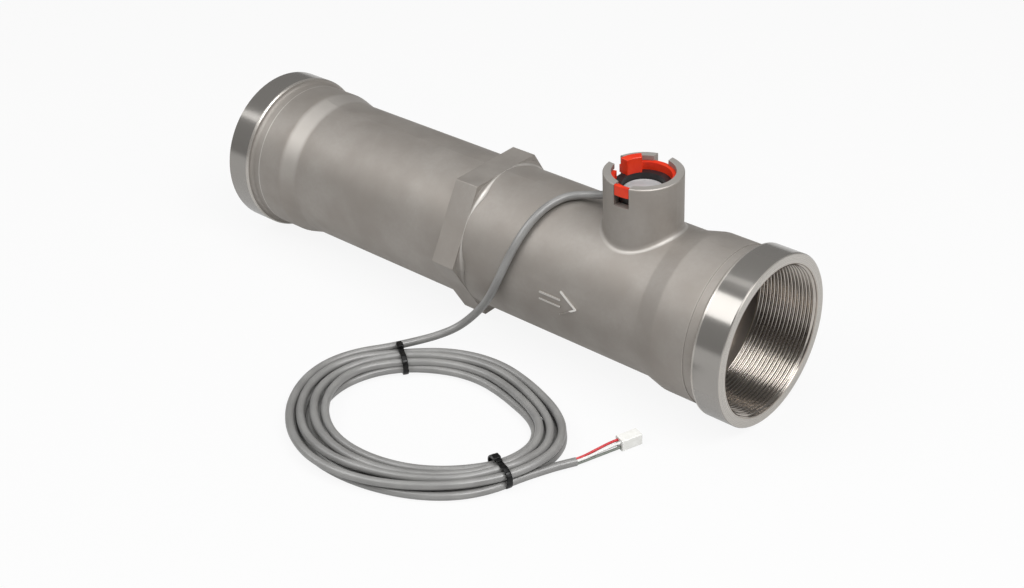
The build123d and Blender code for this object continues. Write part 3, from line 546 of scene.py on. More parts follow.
@dataclass(frozen=True)
class BoardFinish:
    """Green lacquered board with paler copper tracks in straight runs under the lacquer."""

    name: str = "green_board"
    lacquer: Triple = (0.012, 0.10, 0.035)
    track: Triple = (0.03, 0.19, 0.06)
    roughness: Pair = (0.22, 0.34)
    rough_scale: float = 400.0
    track_scale: float = 260.0
    track_width: float = 0.05
    track_relief: Pair = (0.3, 0.00003)

    def make(self) -> bpy.types.Material:
        """Make this finish; the tracks are the joints of a brick pattern.

        Returns:
            The material.
        """
        graph = Graph(self.name)
        sockets = {"Vector": graph.place, "Scale": self.track_scale,
                   "Mortar Size": self.track_width}
        tracks = graph.add("ShaderNodeTexBrick", sockets).outputs["Fac"]
        graph.drive(
            Base_Color=graph.blend(tracks, self.lacquer, self.track),
            Roughness=graph.patches(self.rough_scale, 2.0, *self.roughness),
            Normal=graph.bump(tracks, *self.track_relief),
        )
        return graph.material


class Finishes:
    """The part's finishes, each made once, and the nodes that take them."""

    def __init__(self) -> None:
        """Make every finish, under the name of its slot in the record."""
        finishes = {
            "cast_steel": CastBody(),
            "thread_steel": TurnedMetal(
                "cut_thread_steel", (0.46, 0.425, 0.385), (0.54, 0.50, 0.46), 0.17),
            "spring_steel": Moulding(
                "spring_steel", (0.40, 0.40, 0.40), (0.52, 0.52, 0.51), 0.3, metallic=1.0),
            "shaft_steel": TurnedMetal(
                "ground_shaft_steel", (0.6, 0.6, 0.59), (0.7, 0.7, 0.69), 0.16),
            "magnet": Moulding(
                "plated_magnet", (0.42, 0.42, 0.43), (0.52, 0.51, 0.5), 0.25, metallic=1.0),
            "contact_tin": Moulding(
                "tinned_contact", (0.55, 0.54, 0.5), (0.68, 0.67, 0.63), 0.3,
                metallic=1.0, mottle=400.0),
            "tinned_copper": Moulding(
                "tinned_wire", (0.62, 0.5, 0.4), (0.7, 0.64, 0.58), 0.3,
                metallic=1.0, mottle=500.0),
            "bearing_ceramic": Moulding(
                "white_ceramic", (0.72, 0.71, 0.66), (0.8, 0.79, 0.75), 0.2, 0.04, coat=0.3),
            "flow_plastic": Moulding(
                "black_flow_plastic", (0.028, 0.028, 0.03), (0.05, 0.05, 0.053), 0.42,
                mottle=60.0),
            "rotor_plastic": Moulding(
                "blue_rotor_plastic", (0.025, 0.065, 0.17), (0.04, 0.09, 0.21), 0.38,
                mottle=60.0),
            "probe_black": Moulding(
                "probe_black", (0.010, 0.010, 0.011), (0.019, 0.019, 0.02), 0.38, mottle=160.0),
            "cap_grey": Moulding(
                "cap_grey", (0.36, 0.36, 0.365), (0.44, 0.44, 0.44), 0.5,
                mottle=130.0, relief=0.2),
            "potting_resin": Moulding(
                "potting_resin", (0.012, 0.012, 0.013), (0.022, 0.02, 0.018), 0.2, 0.06,
                mottle=200.0, grain=300.0, coat=0.4),
            "board_green": BoardFinish(),
            "chip_black": Moulding(
                "chip_black", (0.012, 0.012, 0.012), (0.022, 0.022, 0.022), 0.5, mottle=700.0),
            "seal_rubber": Moulding(
                "seal_rubber", (0.010, 0.010, 0.010), (0.022, 0.022, 0.021), 0.55, mottle=300.0),
            "relief_grey": Moulding(
                "relief_grey", (0.19, 0.188, 0.183), (0.25, 0.248, 0.242), 0.5, mottle=220.0),
            "clip_red": Moulding(
                "clip_red", (0.64, 0.026, 0.007), (0.72, 0.042, 0.010), 0.4, 0.05,
                mottle=150.0, relief=0.08, gloss=0.35),
            "cable_grey": CableJacket(),
            "tie_black": Moulding(
                "tie_black", (0.004, 0.004, 0.004), (0.009, 0.009, 0.009), 0.26,
                mottle=400.0, gloss=0.25),
            "wire_red": Moulding(
                "wire_red", (0.50, 0.022, 0.03), (0.6, 0.035, 0.045), 0.4, mottle=300.0),
            "wire_white": Moulding(
                "wire_white", (0.68, 0.68, 0.66), (0.77, 0.77, 0.75), 0.42, mottle=300.0),
            "wire_black": Moulding(
                "wire_black", (0.014, 0.014, 0.014), (0.025, 0.025, 0.025), 0.4, mottle=300.0),
            "wire_green": Moulding(
                "wire_green", (0.15, 0.168, 0.145), (0.2, 0.222, 0.195), 0.42, mottle=300.0),
            "connector_white": Moulding(
                "connector_white", (0.74, 0.74, 0.71), (0.8, 0.8, 0.775), 0.4,
                mottle=250.0, relief=0.06),
        }
        self.made = {slot: finish.make() for slot, finish in finishes.items()}

    def dress(self, piece: bpy.types.Object, slot: str) -> None:
        """Give a piece one finish in all its slots.

        Args:
            piece: The object to dress.
            slot: Name of the finish.
        """
        if not piece.data.materials:
            piece.data.materials.append(self.made[slot])
        for place in piece.material_slots:
            place.material = self.made[slot]

    def dress_nodes(self, nodes: dict[str, bpy.types.Object], table: dict[str, str]) -> None:
        """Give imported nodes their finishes.

        Args:
            nodes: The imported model's nodes by name.
            table: Finish name for each node.
        """
        for name, slot in table.items():
            self.dress(nodes[name], slot)
            log.info("%s has %s", name, self.made[slot].name)


def placed(name: str, data: bpy.types.ID) -> bpy.types.Object:
    """Put a mesh, curve, lamp or camera into the scene at the origin.

    Args:
        name: The object's name.
        data: What it shows.

    Returns:
        The new object.
    """
    thing = bpy.data.objects.new(name, data)
    bpy.context.scene.collection.objects.link(thing)
    return thing


def smooth_piece(name: str, mesh: bpy.types.Mesh, soup: bmesh.types.BMesh) -> bpy.types.Object:
    """Write a finished bmesh into a mesh and place it as a smooth piece.

    Args:
        name: The piece's name.
        mesh: The mesh that takes it.
        soup: The bmesh, which is used up.

    Returns:
        The new object.
    """
    soup.to_mesh(mesh)
    soup.free()
    mesh.polygons.foreach_set("use_smooth", np.ones(len(mesh.polygons), bool))
    return placed(name, mesh)


def grid_mesh(name: str, points: np.ndarray, close_rows: bool,
              close_columns: bool) -> bpy.types.Object:
    """Make a smooth piece from a grid of points.

    Point (i, j) joins its neighbours i+1 and j+1; a closed direction joins its last row to its
    first. Doubled points are merged after that, which closes poles and welded seams, and the
    faces are turned outwards.

    Args:
        name: The piece's name.
        points: Rows by columns by three, in metres.
        close_rows: Join the last row to the first.
        close_columns: Join the last column to the first.

    Returns:
        The new object.
    """
    rows, columns = points.shape[:2]
    index = np.arange(rows * columns).reshape(rows, columns)
    if close_rows:
        index = np.vstack([index, index[:1]])
    if close_columns:
        index = np.hstack([index, index[:, :1]])
    corners = [index[:-1, :-1], index[1:, :-1], index[1:, 1:], index[:-1, 1:]]
    mesh = bpy.data.meshes.new(name)
    mesh.from_pydata(points.reshape(-1, 3), [], np.stack(corners, axis=-1).reshape(-1, 4))
    soup = bmesh.new()
    soup.from_mesh(mesh)
    bmesh.ops.remove_doubles(soup, verts=soup.verts, dist=2e-6)
    bmesh.ops.recalc_face_normals(soup, faces=soup.faces)
    return smooth_piece(name, mesh, soup)


def joined(name: str, parts: list[bpy.types.Object]) -> bpy.types.Object:
    """Join several meshes into one piece.

    Args:
        name: The joined piece's name.
        parts: Objects to join; they are used up.

    Returns:
        The joined object.
    """
    soup = bmesh.new()
    for part in parts:
        soup.from_mesh(part.data)
        bpy.data.objects.remove(part)
    return smooth_piece(name, bpy.data.meshes.new(name), soup)


def signed_power(value: np.ndarray, power: float) -> np.ndarray:
    """Return the size of a value to a power, with the value's sign."""
    return np.sign(value) * np.abs(value) ** power


def rounded_block(name: str, centre: np.ndarray, axes: np.ndarray, half: Triple,
                  squareness: float = 0.28, count: int = 28) -> bpy.types.Object:
    """Make a block with rounded edges as a superellipsoid.

    Each coordinate is its half size times a product of the cosines and sines of two angles,
    each raised to the power squareness with its sign kept, so 1 is an ellipsoid and 0 a box.

    Args:
        name: The piece's name.
        centre: Middle of the block, in millimetres.
        axes: Three unit rows, the block's own directions.
        half: Half sizes along them, in millimetres.
        squareness: The power.
        count: Points round each angle.

    Returns:
        The new object.
    """
    rise = np.linspace(-math.pi / 2, math.pi / 2, count)[:, None]
    turn = np.linspace(-math.pi, math.pi, 2 * count, endpoint=False)[None, :]
    waist = signed_power(np.cos(rise), squareness)
    local = np.stack([
        half[0] * waist * signed_power(np.cos(turn), squareness),
        half[1] * waist * signed_power(np.sin(turn), squareness),
        half[2] * signed_power(np.sin(rise), squareness) * np.ones_like(turn),
    ], axis=-1)
    return grid_mesh(name, (centre + local @ axes) * MM, False, True)


@dataclass
class Camera:
    """The photograph's camera: its place in metres, its angles in degrees and its lens.

    The roll, in radians, turns the picture about the line of sight.
    """

    place: Triple = (0.58373, -0.62527, 0.54615)
    azimuth: float = 42.78
    elevation: float = 32.29
    roll: float = -0.0510
    lens: float = 57.72
    sensor: float = 36.0

    def build(self) -> bpy.types.Object:
        """Make the camera and set it as the scene's camera.

        Its back is the direction given by azimuth and elevation. Right is square to that and to
        the vertical, up is square to both, and the roll turns these two in their own plane.

        Returns:
            The camera.
        """
        azimuth = math.radians(self.azimuth)
        elevation = math.radians(self.elevation)
        back = Vector((math.sin(azimuth) * math.cos(elevation),
                       -math.cos(azimuth) * math.cos(elevation), math.sin(elevation)))
        right = (-back).cross(Vector((0, 0, 1))).normalized()
        up = right.cross(-back)
        turned_right = right * math.cos(self.roll) + up * math.sin(self.roll)
        turned_up = up * math.cos(self.roll) - right * math.sin(self.roll)
        data = bpy.data.cameras.new("camera")
        data.lens = self.lens
        data.sensor_width = self.sensor
        camera = placed("camera", data)
        turn = Matrix((turned_right, turned_up, back)).transposed().to_4x4()
        camera.matrix_world = Matrix.Translation(self.place) @ turn
        bpy.context.scene.camera = camera
        return camera


def angle_from(angle: np.ndarray, middle: float) -> np.ndarray:
    """Return how far angles lie from a middle one, between -180 and 180 degrees."""
    return (angle - middle + 180.0) % 360.0 - 180.0


def bell(angle: np.ndarray, middle: float, width: float) -> np.ndarray:
    """Return 1 at a middle angle, falling away as e to minus the square of away over width."""
    return np.exp(-(angle_from(angle, middle) / width) ** 2)


@dataclass(frozen=True)
class Wave:
    """A sine round the coil that shifts from turn to turn."""

    size: float
    waves: float
    drift: float
    start: float

    def at(self, turn: np.ndarray, number: np.ndarray) -> np.ndarray:
        """Return size times the sine of waves times turn, plus drift times number, plus start."""
        return self.size * np.sin(self.waves * turn + self.drift * number + self.start)


@dataclass(frozen=True)
class Bulge:
    """A stretch of the coil where the turns lie further out.

    They move by amount times the bell of width about the middle angle: the bottom layer in
    full, and the top one by the share above.
    """

    middle: float
    width: float
    amount: float
    above: float = 1.0


@dataclass(frozen=True)
class Parting:
    """A stretch of the coil where a gap opens between the turns.

    It opens by the bell of width about the middle angle. The first turns, as many as outside
    says, move outwards and the others inwards: by amount in the top layer and by under in the
    bottom one.
    """

    middle: float
    width: float
    outside: int
    amount: float
    under: float


@dataclass
class SensorCable:
    """The probe's cable: loose lead over the pipe, tied coil, and the tail to the connector.

    The coil's line goes round an ellipse. Seen across the bundle it follows a U lying on its
    side: inwards along the top layer, down a half circle, and outwards along the bottom layer.
    Between the ties the turns fan out and wave a little, each by its own amount, bulge at some
    places and part at others. At the ties they are squeezed together and lifted, and the top
    layer's turns are staggered. Lengths are in millimetres and angles in degrees.
    """

    radius: float = 2.4
    length: float = 3.2
    coil_x: float = 47.5
    coil_y: float = -122.0
    half_long: float = 69.75
    half_wide: float = 55.25
    coil_turn: float = 10.0
    start_angle: float = 136.0
    end_angle: float = 2848.0
    points_a_turn: int = 24
    top_out: float = 9.6
    top_in: float = -6.4
    bottom_out: float = 8.2
    top_z: float = 8.0
    bottom_z: float = 2.5
    upper_from: float = 4.0
    upper_over: float = 4.0
    tie_angles: Pair = (131.0, -23.0)
    tie_width: float = 17.0
    tie_lift: float = 0.5
    tie_stagger: float = 0.8
    stagger_width: float = 24.0
    squeeze: float = 0.18
    spread: float = 0.15
    fan: float = 0.02
    pull_in: float = 0.6
    wave: float = 1.1
    lower_wave: float = 0.4
    sways: tuple[Wave, ...] = (Wave(1.0, 2.0, 1.1, 0.0), Wave(0.5, 3.0, 1.9, 1.0))
    rise: float = 0.3
    rise_wave: Wave = Wave(0.8, 2.0, 2.3, 0.7)
    bulges: tuple[Bulge, ...] = (
        Bulge(131.0, 20.0, -3.0), Bulge(-23.0, 16.0, -0.3), Bulge(8.0, 26.0, 6.0),
        Bulge(58.0, 18.0, -1.5), Bulge(240.0, 28.0, 1.9),
        Bulge(207.0, 24.0, 2.3, 0.0), Bulge(25.0, 24.0, 2.3, 0.0),
    )
    partings: tuple[Parting, ...] = (
        Parting(258.0, 36.0, 3, 2.3, 0.3), Parting(80.0, 26.0, 3, 1.9, 0.0),
        Parting(168.0, 22.0, 2, 0.9, 0.0),
    )
    parting_edge: float = 5.0
    lead: tuple[Triple, ...] = (
        (80.6, 1.6, 101.5), (72.4, 0.86, 98.99), (63.4, -0.90, 96.99), (56.4, -6.90, 96.19),
        (52.2, -16.62, 93.75), (49.3, -26.17, 88.80), (47.1, -34.80, 81.44),
        (44.6, -41.41, 72.02), (41.2, -45.64, 61.21), (36.2, -47.20, 49.42),
        (29.0, -47.32, 36.16), (19.6, -48.82, 23.60), (10.8, -54.95, 14.18),
        (2.8, -64.8, 10.4), (-4.6, -74.4, 8.8),
    )
    tail: tuple[Triple, ...] = (
        (122.3, -127.5, 2.5), (127.0, -116.6, 2.45), (131.6, -106.6, 2.4), (136.5, -98.4, 2.4),
    )

    def coil_points(self) -> np.ndarray:
        """Work out the coil's control points.

        The place round the ellipse goes on by one step a point, and the way along the U goes
        on evenly with it. The normal of the ellipse carries the U's sideways value.

        Returns:
            Points by three, in millimetres.
        """
        around = self.end_angle - self.start_angle
        count = int(round(around / 360.0 * self.points_a_turn))
        angle = np.linspace(self.start_angle, self.end_angle, count)
        turn = np.radians(angle)
        lane, level = self.across_bundle((angle - self.start_angle) / around)
        upper = np.clip((level - self.upper_from) / self.upper_over, 0.0, 1.0)
        side = self.sideways(angle, lane, upper)
        normal = np.stack([np.cos(turn) / self.half_long, np.sin(turn) / self.half_wide], axis=-1)
        normal = normal / np.linalg.norm(normal, axis=-1, keepdims=True)
        flat = np.stack([self.half_long * np.cos(turn), self.half_wide * np.sin(turn)], axis=-1)
        flat = flat + side[:, None] * normal
        bend = math.radians(self.coil_turn)
        x = self.coil_x + flat[:, 0] * math.cos(bend) - flat[:, 1] * math.sin(bend)
        y = self.coil_y + flat[:, 0] * math.sin(bend) + flat[:, 1] * math.cos(bend)
        return np.stack([x, y, self.lifted(angle, level, upper)], axis=-1)

    def across_bundle(self, share: np.ndarray) -> tuple[np.ndarray, np.ndarray]:
        """Work out the place in the bundle.

        Args:
            share: Share of the way along the U, from 0 to 1.

        Returns:
            The sideways and the upward place.
        """
        drop = (self.top_z - self.bottom_z) / 2.0
        top = self.top_out - self.top_in
        arc = math.pi * drop
        bottom = self.bottom_out - self.top_in
        way = share * (1.0 + self.spread * (1.0 - share)) * (top + arc + bottom)
        bend = np.clip((way - top) / drop, 0.0, math.pi)
        side = np.where(way < top, self.top_out - way, self.top_in - drop * np.sin(bend))
        side = np.where(way > top + arc, self.top_in + way - top - arc, side)
        return side, self.bottom_z + drop + drop * np.cos(bend)

    def looseness(self, angle: np.ndarray) -> np.ndarray:
        """Return 0 at the ties, rising smoothly to 1 away from them."""
        return 1.0 - np.maximum(*(bell(angle, tie, self.tie_width) for tie in self.tie_angles))

    def sideways(self, angle: np.ndarray, lane: np.ndarray, upper: np.ndarray) -> np.ndarray:
        """Work out how far the line lies outside the ellipse.

        The lane is fanned out between the ties and squeezed at them. The waves, the bulges and
        the partings are added, and a parting changes its sign at its border by a hyperbolic
        tangent of the turns from there.

        Args:
            angle: Angle gone round the coil.
            lane: Sideways place in the bundle.
            upper: 1 in the top layer, 0 in the bottom one.

        Returns:
            The distances outwards.
        """
        loose = self.looseness(angle)
        number = (angle - self.start_angle) / 360.0
        side = lane * (1.0 + self.fan * loose - self.squeeze * (1.0 - loose))
        side = side - self.pull_in * loose
        sway = sum(wave.at(np.radians(angle), number) for wave in self.sways)
        side = side + self.wave * loose * sway * (self.lower_wave + (1.0 - self.lower_wave) * upper)
        for bulge in self.bulges:
            share = 1.0 - (1.0 - bulge.above) * upper
            side = side + bulge.amount * share * bell(angle, bulge.middle, bulge.width)
        for gap in self.partings:
            ahead = (gap.middle - self.start_angle) % 360.0 + angle_from(angle, gap.middle)
            turns_in = gap.outside - 0.5 + ahead / 360.0 - number
            opening = (gap.amount - gap.under) * upper + gap.under
            opening = opening * np.tanh(self.parting_edge * turns_in)
            side = side + opening * bell(angle, gap.middle, gap.width)
        return side

    def lifted(self, angle: np.ndarray, level: np.ndarray, upper: np.ndarray) -> np.ndarray:
        """Work out the line's height.

        Args:
            angle: Angle gone round the coil.
            level: Height in the even bundle.
            upper: 1 in the top layer, 0 in the bottom one.

        Returns:
            The heights: lifted at the ties, and in the top layer staggered there, by the cosine
            of half the angle gone, and wavy between them.
        """
        loose = self.looseness(angle)
        number = (angle - self.start_angle) / 360.0
        height = level + self.tie_lift * (1.0 - loose)
        for tie in self.tie_angles:
            stagger = np.cos(np.radians(angle - tie) / 2.0) * bell(angle, tie, self.stagger_width)
            height = height + self.tie_stagger * upper * stagger
        wobble = self.rise_wave.at(np.radians(angle), number) + self.rise
        return height + loose * upper * wobble

    def build(self) -> bpy.types.Object:
        """Make the cable as one smooth curve that is as long and thick as the real one.

        Returns:
            The cable.
        """
        points = np.vstack([np.array(self.lead), self.coil_points(), np.array(self.tail)]) * MM
        data = bpy.data.curves.new("sensor_cable", "CURVE")
        data.dimensions = "3D"
        data.bevel_depth = self.radius * MM
        data.bevel_resolution = 5
        data.resolution_u = 6
        data.use_fill_caps = True
        spline = data.splines.new("NURBS")
        spline.points.add(len(points) - 1)
        spline.points.foreach_set("co", np.hstack([points, np.ones((len(points), 1))]).ravel())
        spline.order_u = 3
        spline.use_endpoint_u = True
        return placed("sensor_cable", data)


@dataclass
class CableTie:
    """One tie round the bundle: a flat band with a ratchet head and the end of its strap.

    The band is a rounded flat section carried along a rounded rectangle that stands across
    the bundle. Lengths are in millimetres, and half sizes go across, along and up.
    """

    name: str
    middle: Pair
    heading: float
    head_at: float
    low_z: float = 0.7
    high_z: float = 12.15
    reach: float = 10.7
    corner: float = 4.7
    band: float = 3.2
    thickness: float = 1.1
    section_power: float = 0.35
    section_points: int = 16
    dip: float = 0.15
    dip_pitch: float = 5.3
    dip_within: float = 0.5
    head_half: Triple = (2.2, 2.0, 1.3)
    head_over: float = 1.0
    stub_half: Triple = (1.5, 1.6, 0.55)
    stub_away: float = 2.9
    stub_over: float = 0.1

    def loop(self, count: int = 12) -> tuple[np.ndarray, np.ndarray]:
        """Work out the band's line round the bundle.

        The line is a rectangle with rounded corners, walked evenly: each corner is a quarter
        circle, and a straight side goes on from its end. A small cosine on the top side lets
        the band dip between the turns that it holds.

        Args:
            count: Points on each corner and each side.

        Returns:
            Points (across, up) and their outward directions.
        """
        half_high = (self.high_z - self.low_z) / 2.0
        inner = np.array([self.reach, half_high]) - self.corner
        quarter = np.linspace(0.0, math.pi / 2, count)
        steps = np.linspace(0.0, 1.0, count + 2)[1:-1, None]
        points = []
        outward = []
        for corner, (sx, sy) in enumerate(((1, 1), (-1, 1), (-1, -1), (1, -1))):
            turn = quarter + corner * math.pi / 2
            out = np.stack([np.cos(turn), np.sin(turn)], axis=-1)
            arc = np.array([sx, sy]) * inner + self.corner * out
            ahead = np.array([-out[-1, 1], out[-1, 0]])
            points += [arc, arc[-1] + steps * 2.0 * inner[corner % 2] * ahead]
            outward += [out, np.repeat(out[-1:], count, axis=0)]
        line = np.vstack(points)
        on_top = line[:, 1] > half_high - self.dip_within
        line[:, 1] += self.dip * np.cos(line[:, 0] * 2 * math.pi / self.dip_pitch) * on_top
        return line, np.vstack(outward)

    def build(self) -> bpy.types.Object:
        """Make the band, its head and the strap's end as one piece.

        The band's section is a circle whose cosine and sine are raised to a small power, with
        their signs kept, so that it comes out flat with rounded edges.

        Returns:
            The tie.
        """
        heading = math.radians(self.heading)
        across = np.array([math.cos(heading), math.sin(heading), 0.0])
        along = np.array([-across[1], across[0], 0.0])
        up = np.array([0.0, 0.0, 1.0])
        middle = np.array([*self.middle, (self.low_z + self.high_z) / 2.0])
        line, outward = self.loop()
        turn = np.linspace(0.0, 2 * math.pi, self.section_points, endpoint=False)
        flat = signed_power(np.cos(turn), self.section_power) * self.band / 2.0
        thick = signed_power(np.sin(turn), self.section_power) * self.thickness / 2.0
        spine = middle + line[:, :1] * across + line[:, 1:] * up
        lift = outward[:, :1] * across + outward[:, 1:] * up
        points = spine[:, None, :] + thick[None, :, None] * lift[:, None, :]
        points = points + flat[None, :, None] * along
        band = grid_mesh(self.name + "_band", points * MM, True, True)
        axes = np.stack([across, along, up])
        over = (self.high_z - self.low_z) / 2.0 + self.head_over
        top = middle + up * over + across * self.head_at
        head = rounded_block(self.name + "_head", top, axes, self.head_half)
        stub_at = top + across * self.stub_away + up * self.stub_over
        stub = rounded_block(self.name + "_stub", stub_at, axes, self.stub_half)
        return joined(self.name, [band, head, stub])


@dataclass
class ThreadTeeth:
    """Cut pipe thread in one mouth, as a closed ring whose outer side lies in the body's wall.

    The surface's rows follow the helix: a row's place along the pipe is the mouth less the
    row's step and less one pitch for each turn round the axis. Across the rows the radius
    goes between crest and root as a rounded triangle wave. The radius grows to the wall at
    both ends, which gives the lead-in and the run-out. Lengths are in millimetres.
    """

    name: str
    mouth_x: float
    facing: Facing
    length: float = 38.0
    pitch: float = 2.309
    crest: float = 42.465
    root: float = 43.90
    wall: float = 43.99
    buried: float = 44.6
    sharpness: float = 0.93
    run_out_slope: float = 0.8
    rows_a_pitch: int = 8
    columns: int = 192

    def build(self) -> bpy.types.Object:
        """Make the teeth.

        The triangle wave is the arc sine of sharpness times the cosine of the step, over the arc
        sine of sharpness, so a sharpness near 1 leaves little rounding.

        Returns:
            The thread's ring.
        """
        turns = int(self.length / self.pitch) + 2
        step = np.arange(-self.rows_a_pitch, turns * self.rows_a_pitch + 1)[:, None]
        step = step / self.rows_a_pitch
        turn = np.linspace(0.0, 1.0, self.columns + 1)[None, :]
        depth = np.clip((step + turn) * self.pitch, 0.0, self.length)
        wave = np.arcsin(self.sharpness * np.cos(2 * math.pi * step)) / math.asin(self.sharpness)
        radius = (self.crest + self.root) / 2.0 + (self.root - self.crest) / 2.0 * wave
        lead_in = self.wall - depth
        run_out = self.wall - (self.length - depth) * self.run_out_slope
        radius = np.maximum(radius, np.maximum(lead_in, run_out))
        row = np.ones((1, self.columns + 1))
        depth = np.vstack([0.0 * row, depth, self.length * row])
        radius = np.vstack([self.buried * row, radius, self.buried * row])
        angle = 2 * math.pi * turn * self.facing.value
        x = self.mouth_x - self.facing.value * depth
        y = radius * np.sin(angle)
        z = AXIS_Z / MM + radius * np.cos(angle)
        return grid_mesh(self.name, np.stack([x, y, z], axis=-1) * MM, True, False)


@dataclass
class HexagonFillet:
    """Cast fillet between one end of the hexagon band and the pipe.

    Round the pipe's axis the hexagon stands over the pipe by its flat's distance over the
    cosine of the angle from the flat's middle, less the pipe's radius. The fillet takes a
    share of that height as its radius, up to a limit, and its section is a hollow quarter
    circle from the end face down to the pipe, closed by a point below the pipe's skin.
    Lengths are in millimetres.
    """

    name: str
    end_x: float
    facing: Facing
    flat: float = 43.7
    pipe: float = 43.6
    share: float = 0.62
    limit: float = 3.2
    least: float = 0.02
    clear: float = 0.01
    buried: float = 0.4
    columns: int = 360
    rows: int = 10

    def build(self) -> bpy.types.Object:
        """Make the fillet.

        Returns:
            The fillet's ring.
        """
        turn = np.linspace(0.0, 2 * math.pi, self.columns, endpoint=False)[None, :]
        from_flat = (turn + math.pi / 6) % (math.pi / 3) - math.pi / 6
        stand = self.flat / np.cos(from_flat) - self.pipe
        size = np.minimum(self.share * stand, self.limit) + self.least
        bend = np.linspace(0.0, math.pi / 2, self.rows)[:, None]
        out = self.pipe + size * (1.0 - np.sin(bend)) + self.clear
        along = size * (1.0 - np.cos(bend)) + self.clear
        buried = np.full((1, self.columns), -self.buried)
        out = np.vstack([out, self.pipe + buried])
        along = np.vstack([along, buried])
        x = self.end_x + self.facing.value * along
        points = np.stack([x, out * np.sin(turn), AXIS_Z / MM + out * np.cos(turn)], axis=-1)
        return grid_mesh(self.name, points * MM, True, True)


@dataclass
class MeterBody:
    """The cast body with its two cut threads and the fillets of its hexagon band."""

    mouth: float = 192.6
    hexagon_start: float = -10.9
    hexagon_end: float = 5.7

    def build(self, finishes: Finishes) -> None:
        """Dress the body, and make both threads and both fillets of the hexagon band.

        Args:
            finishes: The part's finishes.
        """
        finishes.dress_nodes(frame["nodes"], {"meter_body": "cast_steel"})
        for name, facing in (("outlet_thread_teeth", Facing.DOWNSTREAM),
                             ("inlet_thread_teeth", Facing.UPSTREAM)):
            teeth = ThreadTeeth(name, self.mouth * facing.value, facing).build()
            finishes.dress(teeth, "thread_steel")
            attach(teeth, "housing")
            log.info("%s has %d faces", name, len(teeth.data.polygons))
        for name, end, facing in (
            ("hexagon_fillet_front", self.hexagon_start, Facing.UPSTREAM),
            ("hexagon_fillet_rear", self.hexagon_end, Facing.DOWNSTREAM),
        ):
            fillet = HexagonFillet(name, end, facing).build()
            finishes.dress(fillet, "cast_steel")
            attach(fillet, "housing")
            log.info("%s has %d faces", name, len(fillet.data.polygons))


@dataclass
class FlowInsert:
    """The straightener and the turbine cartridge in the bore."""

    def build(self, finishes: Finishes) -> None:
        """Dress the pieces of the cartridge.

        Args:
            finishes: The part's finishes.
        """
        finishes.dress_nodes(frame["nodes"], {
            "inlet_straightener": "flow_plastic",
            "inlet_snap_ring": "spring_steel",
            "front_bearing_carrier": "flow_plastic",
            "rear_bearing_carrier": "flow_plastic",
            "turbine_sleeve": "flow_plastic",
            "outlet_snap_ring": "spring_steel",
            "turbine_rotor": "rotor_plastic",
            "rotor_magnets": "magnet",
            "turbine_shaft": "shaft_steel",
            "front_bushing": "bearing_ceramic",
            "rear_bushing": "bearing_ceramic",
            "front_thrust_pad": "bearing_ceramic",
            "rear_thrust_pad": "bearing_ceramic",
        })


@dataclass
class PulseProbe:
    """The probe in its socket, with the clip that holds it."""

    def build(self, finishes: Finishes) -> None:
        """Dress the pieces of the probe.

        Args:
            finishes: The part's finishes.
        """
        finishes.dress_nodes(frame["nodes"], {
            "probe_body": "probe_black",
            "probe_o_ring": "seal_rubber",
            "probe_cap": "cap_grey",
            "probe_board": "board_green",
            "pulse_sensor": "chip_black",
            "probe_leads": "tinned_copper",
            "probe_potting": "potting_resin",
            "strain_relief": "relief_grey",
            "retaining_clip": "clip_red",
        })


@dataclass
class CableSet:
    """The cable with its ties, wires and connector."""

    def build(self, finishes: Finishes) -> None:
        """Make the cable and its ties, and dress the wires and the connector.

        Args:
            finishes: The part's finishes.
        """
        run = SensorCable()
        cable = run.build()
        finishes.dress(cable, "cable_grey")
        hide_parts("cable_lead", "cable_coil", "cable_tail")
        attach(cable, "housing")
        ties = [
            CableTie("first_tie", (-1.0, -90.2), 146.0, 3.6),
            CableTie("second_tie", (113.6, -133.3), -20.0, -3.8),
        ]
        for tie, node in zip(ties, ("first_cable_tie", "second_cable_tie")):
            piece = tie.build()
            finishes.dress(piece, "tie_black")
            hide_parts(node)
            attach(piece, "housing")
            log.info("%s has %d faces", piece.name, len(piece.data.polygons))
        finishes.dress_nodes(frame["nodes"], {
            "red_wire": "wire_red",
            "white_wire": "wire_white",
            "black_wire": "wire_black",
            "green_wire": "wire_green",
            "connector_housing": "connector_white",
            "connector_contacts": "contact_tin",
        })
        log.info("sensor_cable has %d control points", len(cable.data.splines[0].points))


@dataclass(frozen=True)
class Softbox:
    """One area lamp: its place, the point that it faces, its width and height, and its watts."""

    name: str
    place: Triple
    target: Triple
    size: Pair
    power: float

    def build(self) -> None:
        """Make the lamp and turn it to its point."""
        data = bpy.data.lights.new(self.name, "AREA")
        data.shape = "RECTANGLE"
        data.size, data.size_y = self.size
        data.energy = self.power
        lamp = placed(self.name, data)
        lamp.location = self.place
        aim = Vector(self.target) - Vector(self.place)
        lamp.rotation_euler = aim.to_track_quat("-Z", "Y").to_euler()


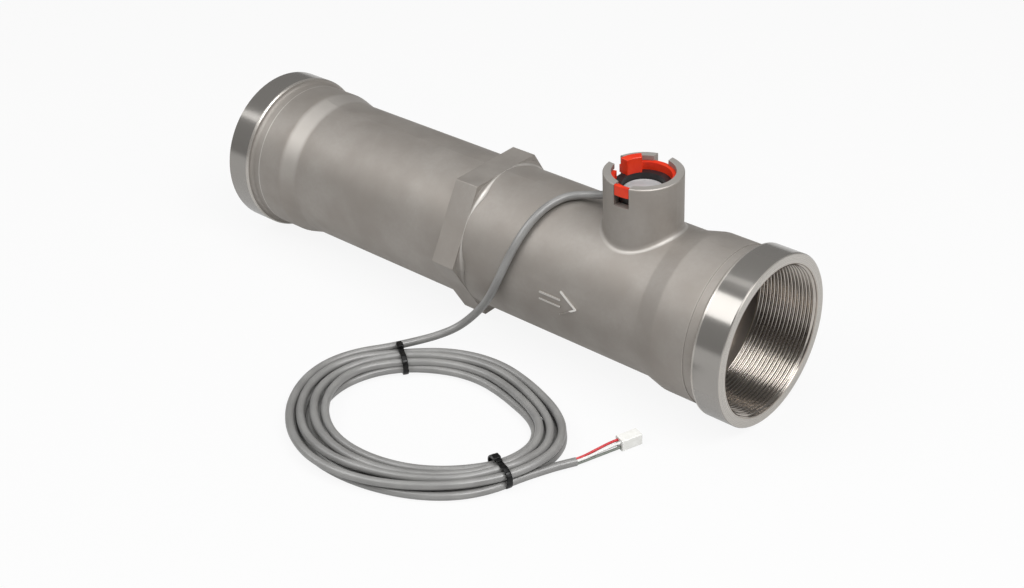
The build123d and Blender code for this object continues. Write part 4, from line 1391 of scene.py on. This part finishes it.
@dataclass
class Studio:
    """Plain pale floor, soft lamps and an even surround."""

    floor_size: float = 6.0
    floor_colour: Triple = (0.62, 0.62, 0.62)
    floor_glow: float = 0.90
    floor_gloss: float = 0.35
    surround: Triple = (0.19, 0.187, 0.184)
    lamps: tuple[Softbox, ...] = (
        Softbox("key_softbox", (-0.36, -0.82, 1.10), (0.05, 0.0, 0.05), (0.95, 0.68), 7.2),
        Softbox("far_softbox", (-1.02, -0.66, 1.05), (-0.15, 0.0, 0.05), (0.55, 0.42), 1.5),
        Softbox("left_strip", (-0.48, 0.05, 1.5), (-0.48, 0.05, 0.0), (1.55, 0.22), 0.8),
        Softbox("front_softbox", (0.82, -0.22, 1.17), (0.17, 0.0, 0.05), (1.0, 0.5), 14.0),
        Softbox("top_softbox", (-0.10, 0.15, 1.7), (-0.12, 0.0, 0.05), (0.9, 1.0), 4.8),
        Softbox("side_fill", (1.45, 0.0, 0.65), (0.15, 0.0, 0.05), (0.6, 0.8), 3.0),
    )

    def build(self) -> None:
        """Make the floor, the surround and the lamps."""
        self.floor()
        self.world()
        for lamp in self.lamps:
            lamp.build()

    def floor(self) -> None:
        """Make the floor, with the part's shadow on it.

        It is white where the camera or glass sees it and paler than its colour where a gloss
        does, by the floor's glow and gloss as the shares of white.
        """
        half = self.floor_size / 2.0
        corners = np.array([[-half, -half, 0], [half, -half, 0], [half, half, 0], [-half, half, 0]])
        mesh = bpy.data.meshes.new("studio_floor")
        mesh.from_pydata(corners, [], [(0, 1, 2, 3)])
        floor = placed("studio_floor", mesh)
        graph = Graph("studio_floor")
        graph.drive(Base_Color=self.floor_colour, Roughness=0.9, Specular_IOR_Level=0.0)
        path = graph.add("ShaderNodeLightPath").outputs
        direct = graph.greatest(path["Is Camera Ray"], path["Is Transmission Ray"])
        mirrored = graph.product(path["Is Glossy Ray"], self.floor_gloss)
        share = graph.greatest(graph.product(direct, self.floor_glow), mirrored)
        glow = graph.add("ShaderNodeEmission", {"Color": (1.0, 1.0, 1.0), "Strength": 1.0})
        sockets = {0: share, 1: graph.shader.outputs[0], 2: glow.outputs[0]}
        mix = graph.add("ShaderNodeMixShader", sockets)
        graph.feed(graph.tree.nodes["Material Output"].inputs["Surface"], mix.outputs[0])
        mesh.materials.append(graph.material)

    def world(self) -> None:
        """Set an even grey surround."""
        world = bpy.data.worlds.new("studio_surround")
        world.use_nodes = True
        inputs = world.node_tree.nodes["Background"].inputs
        inputs["Color"].default_value = (*self.surround, 1.0)
        inputs["Strength"].default_value = 1.0
        bpy.context.scene.world = world


def main() -> None:
    """Build the camera and the cable first, then dress every other piece and light the part."""
    logging.basicConfig(level=logging.INFO, format="%(message)s")
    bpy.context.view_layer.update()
    Camera().build()
    finishes = Finishes()
    CableSet().build(finishes)
    MeterBody().build(finishes)
    FlowInsert().build(finishes)
    PulseProbe().build(finishes)
    Studio().build()
    bpy.context.scene.view_settings.view_transform = "Standard"


if __name__ == "__main__":
    main()
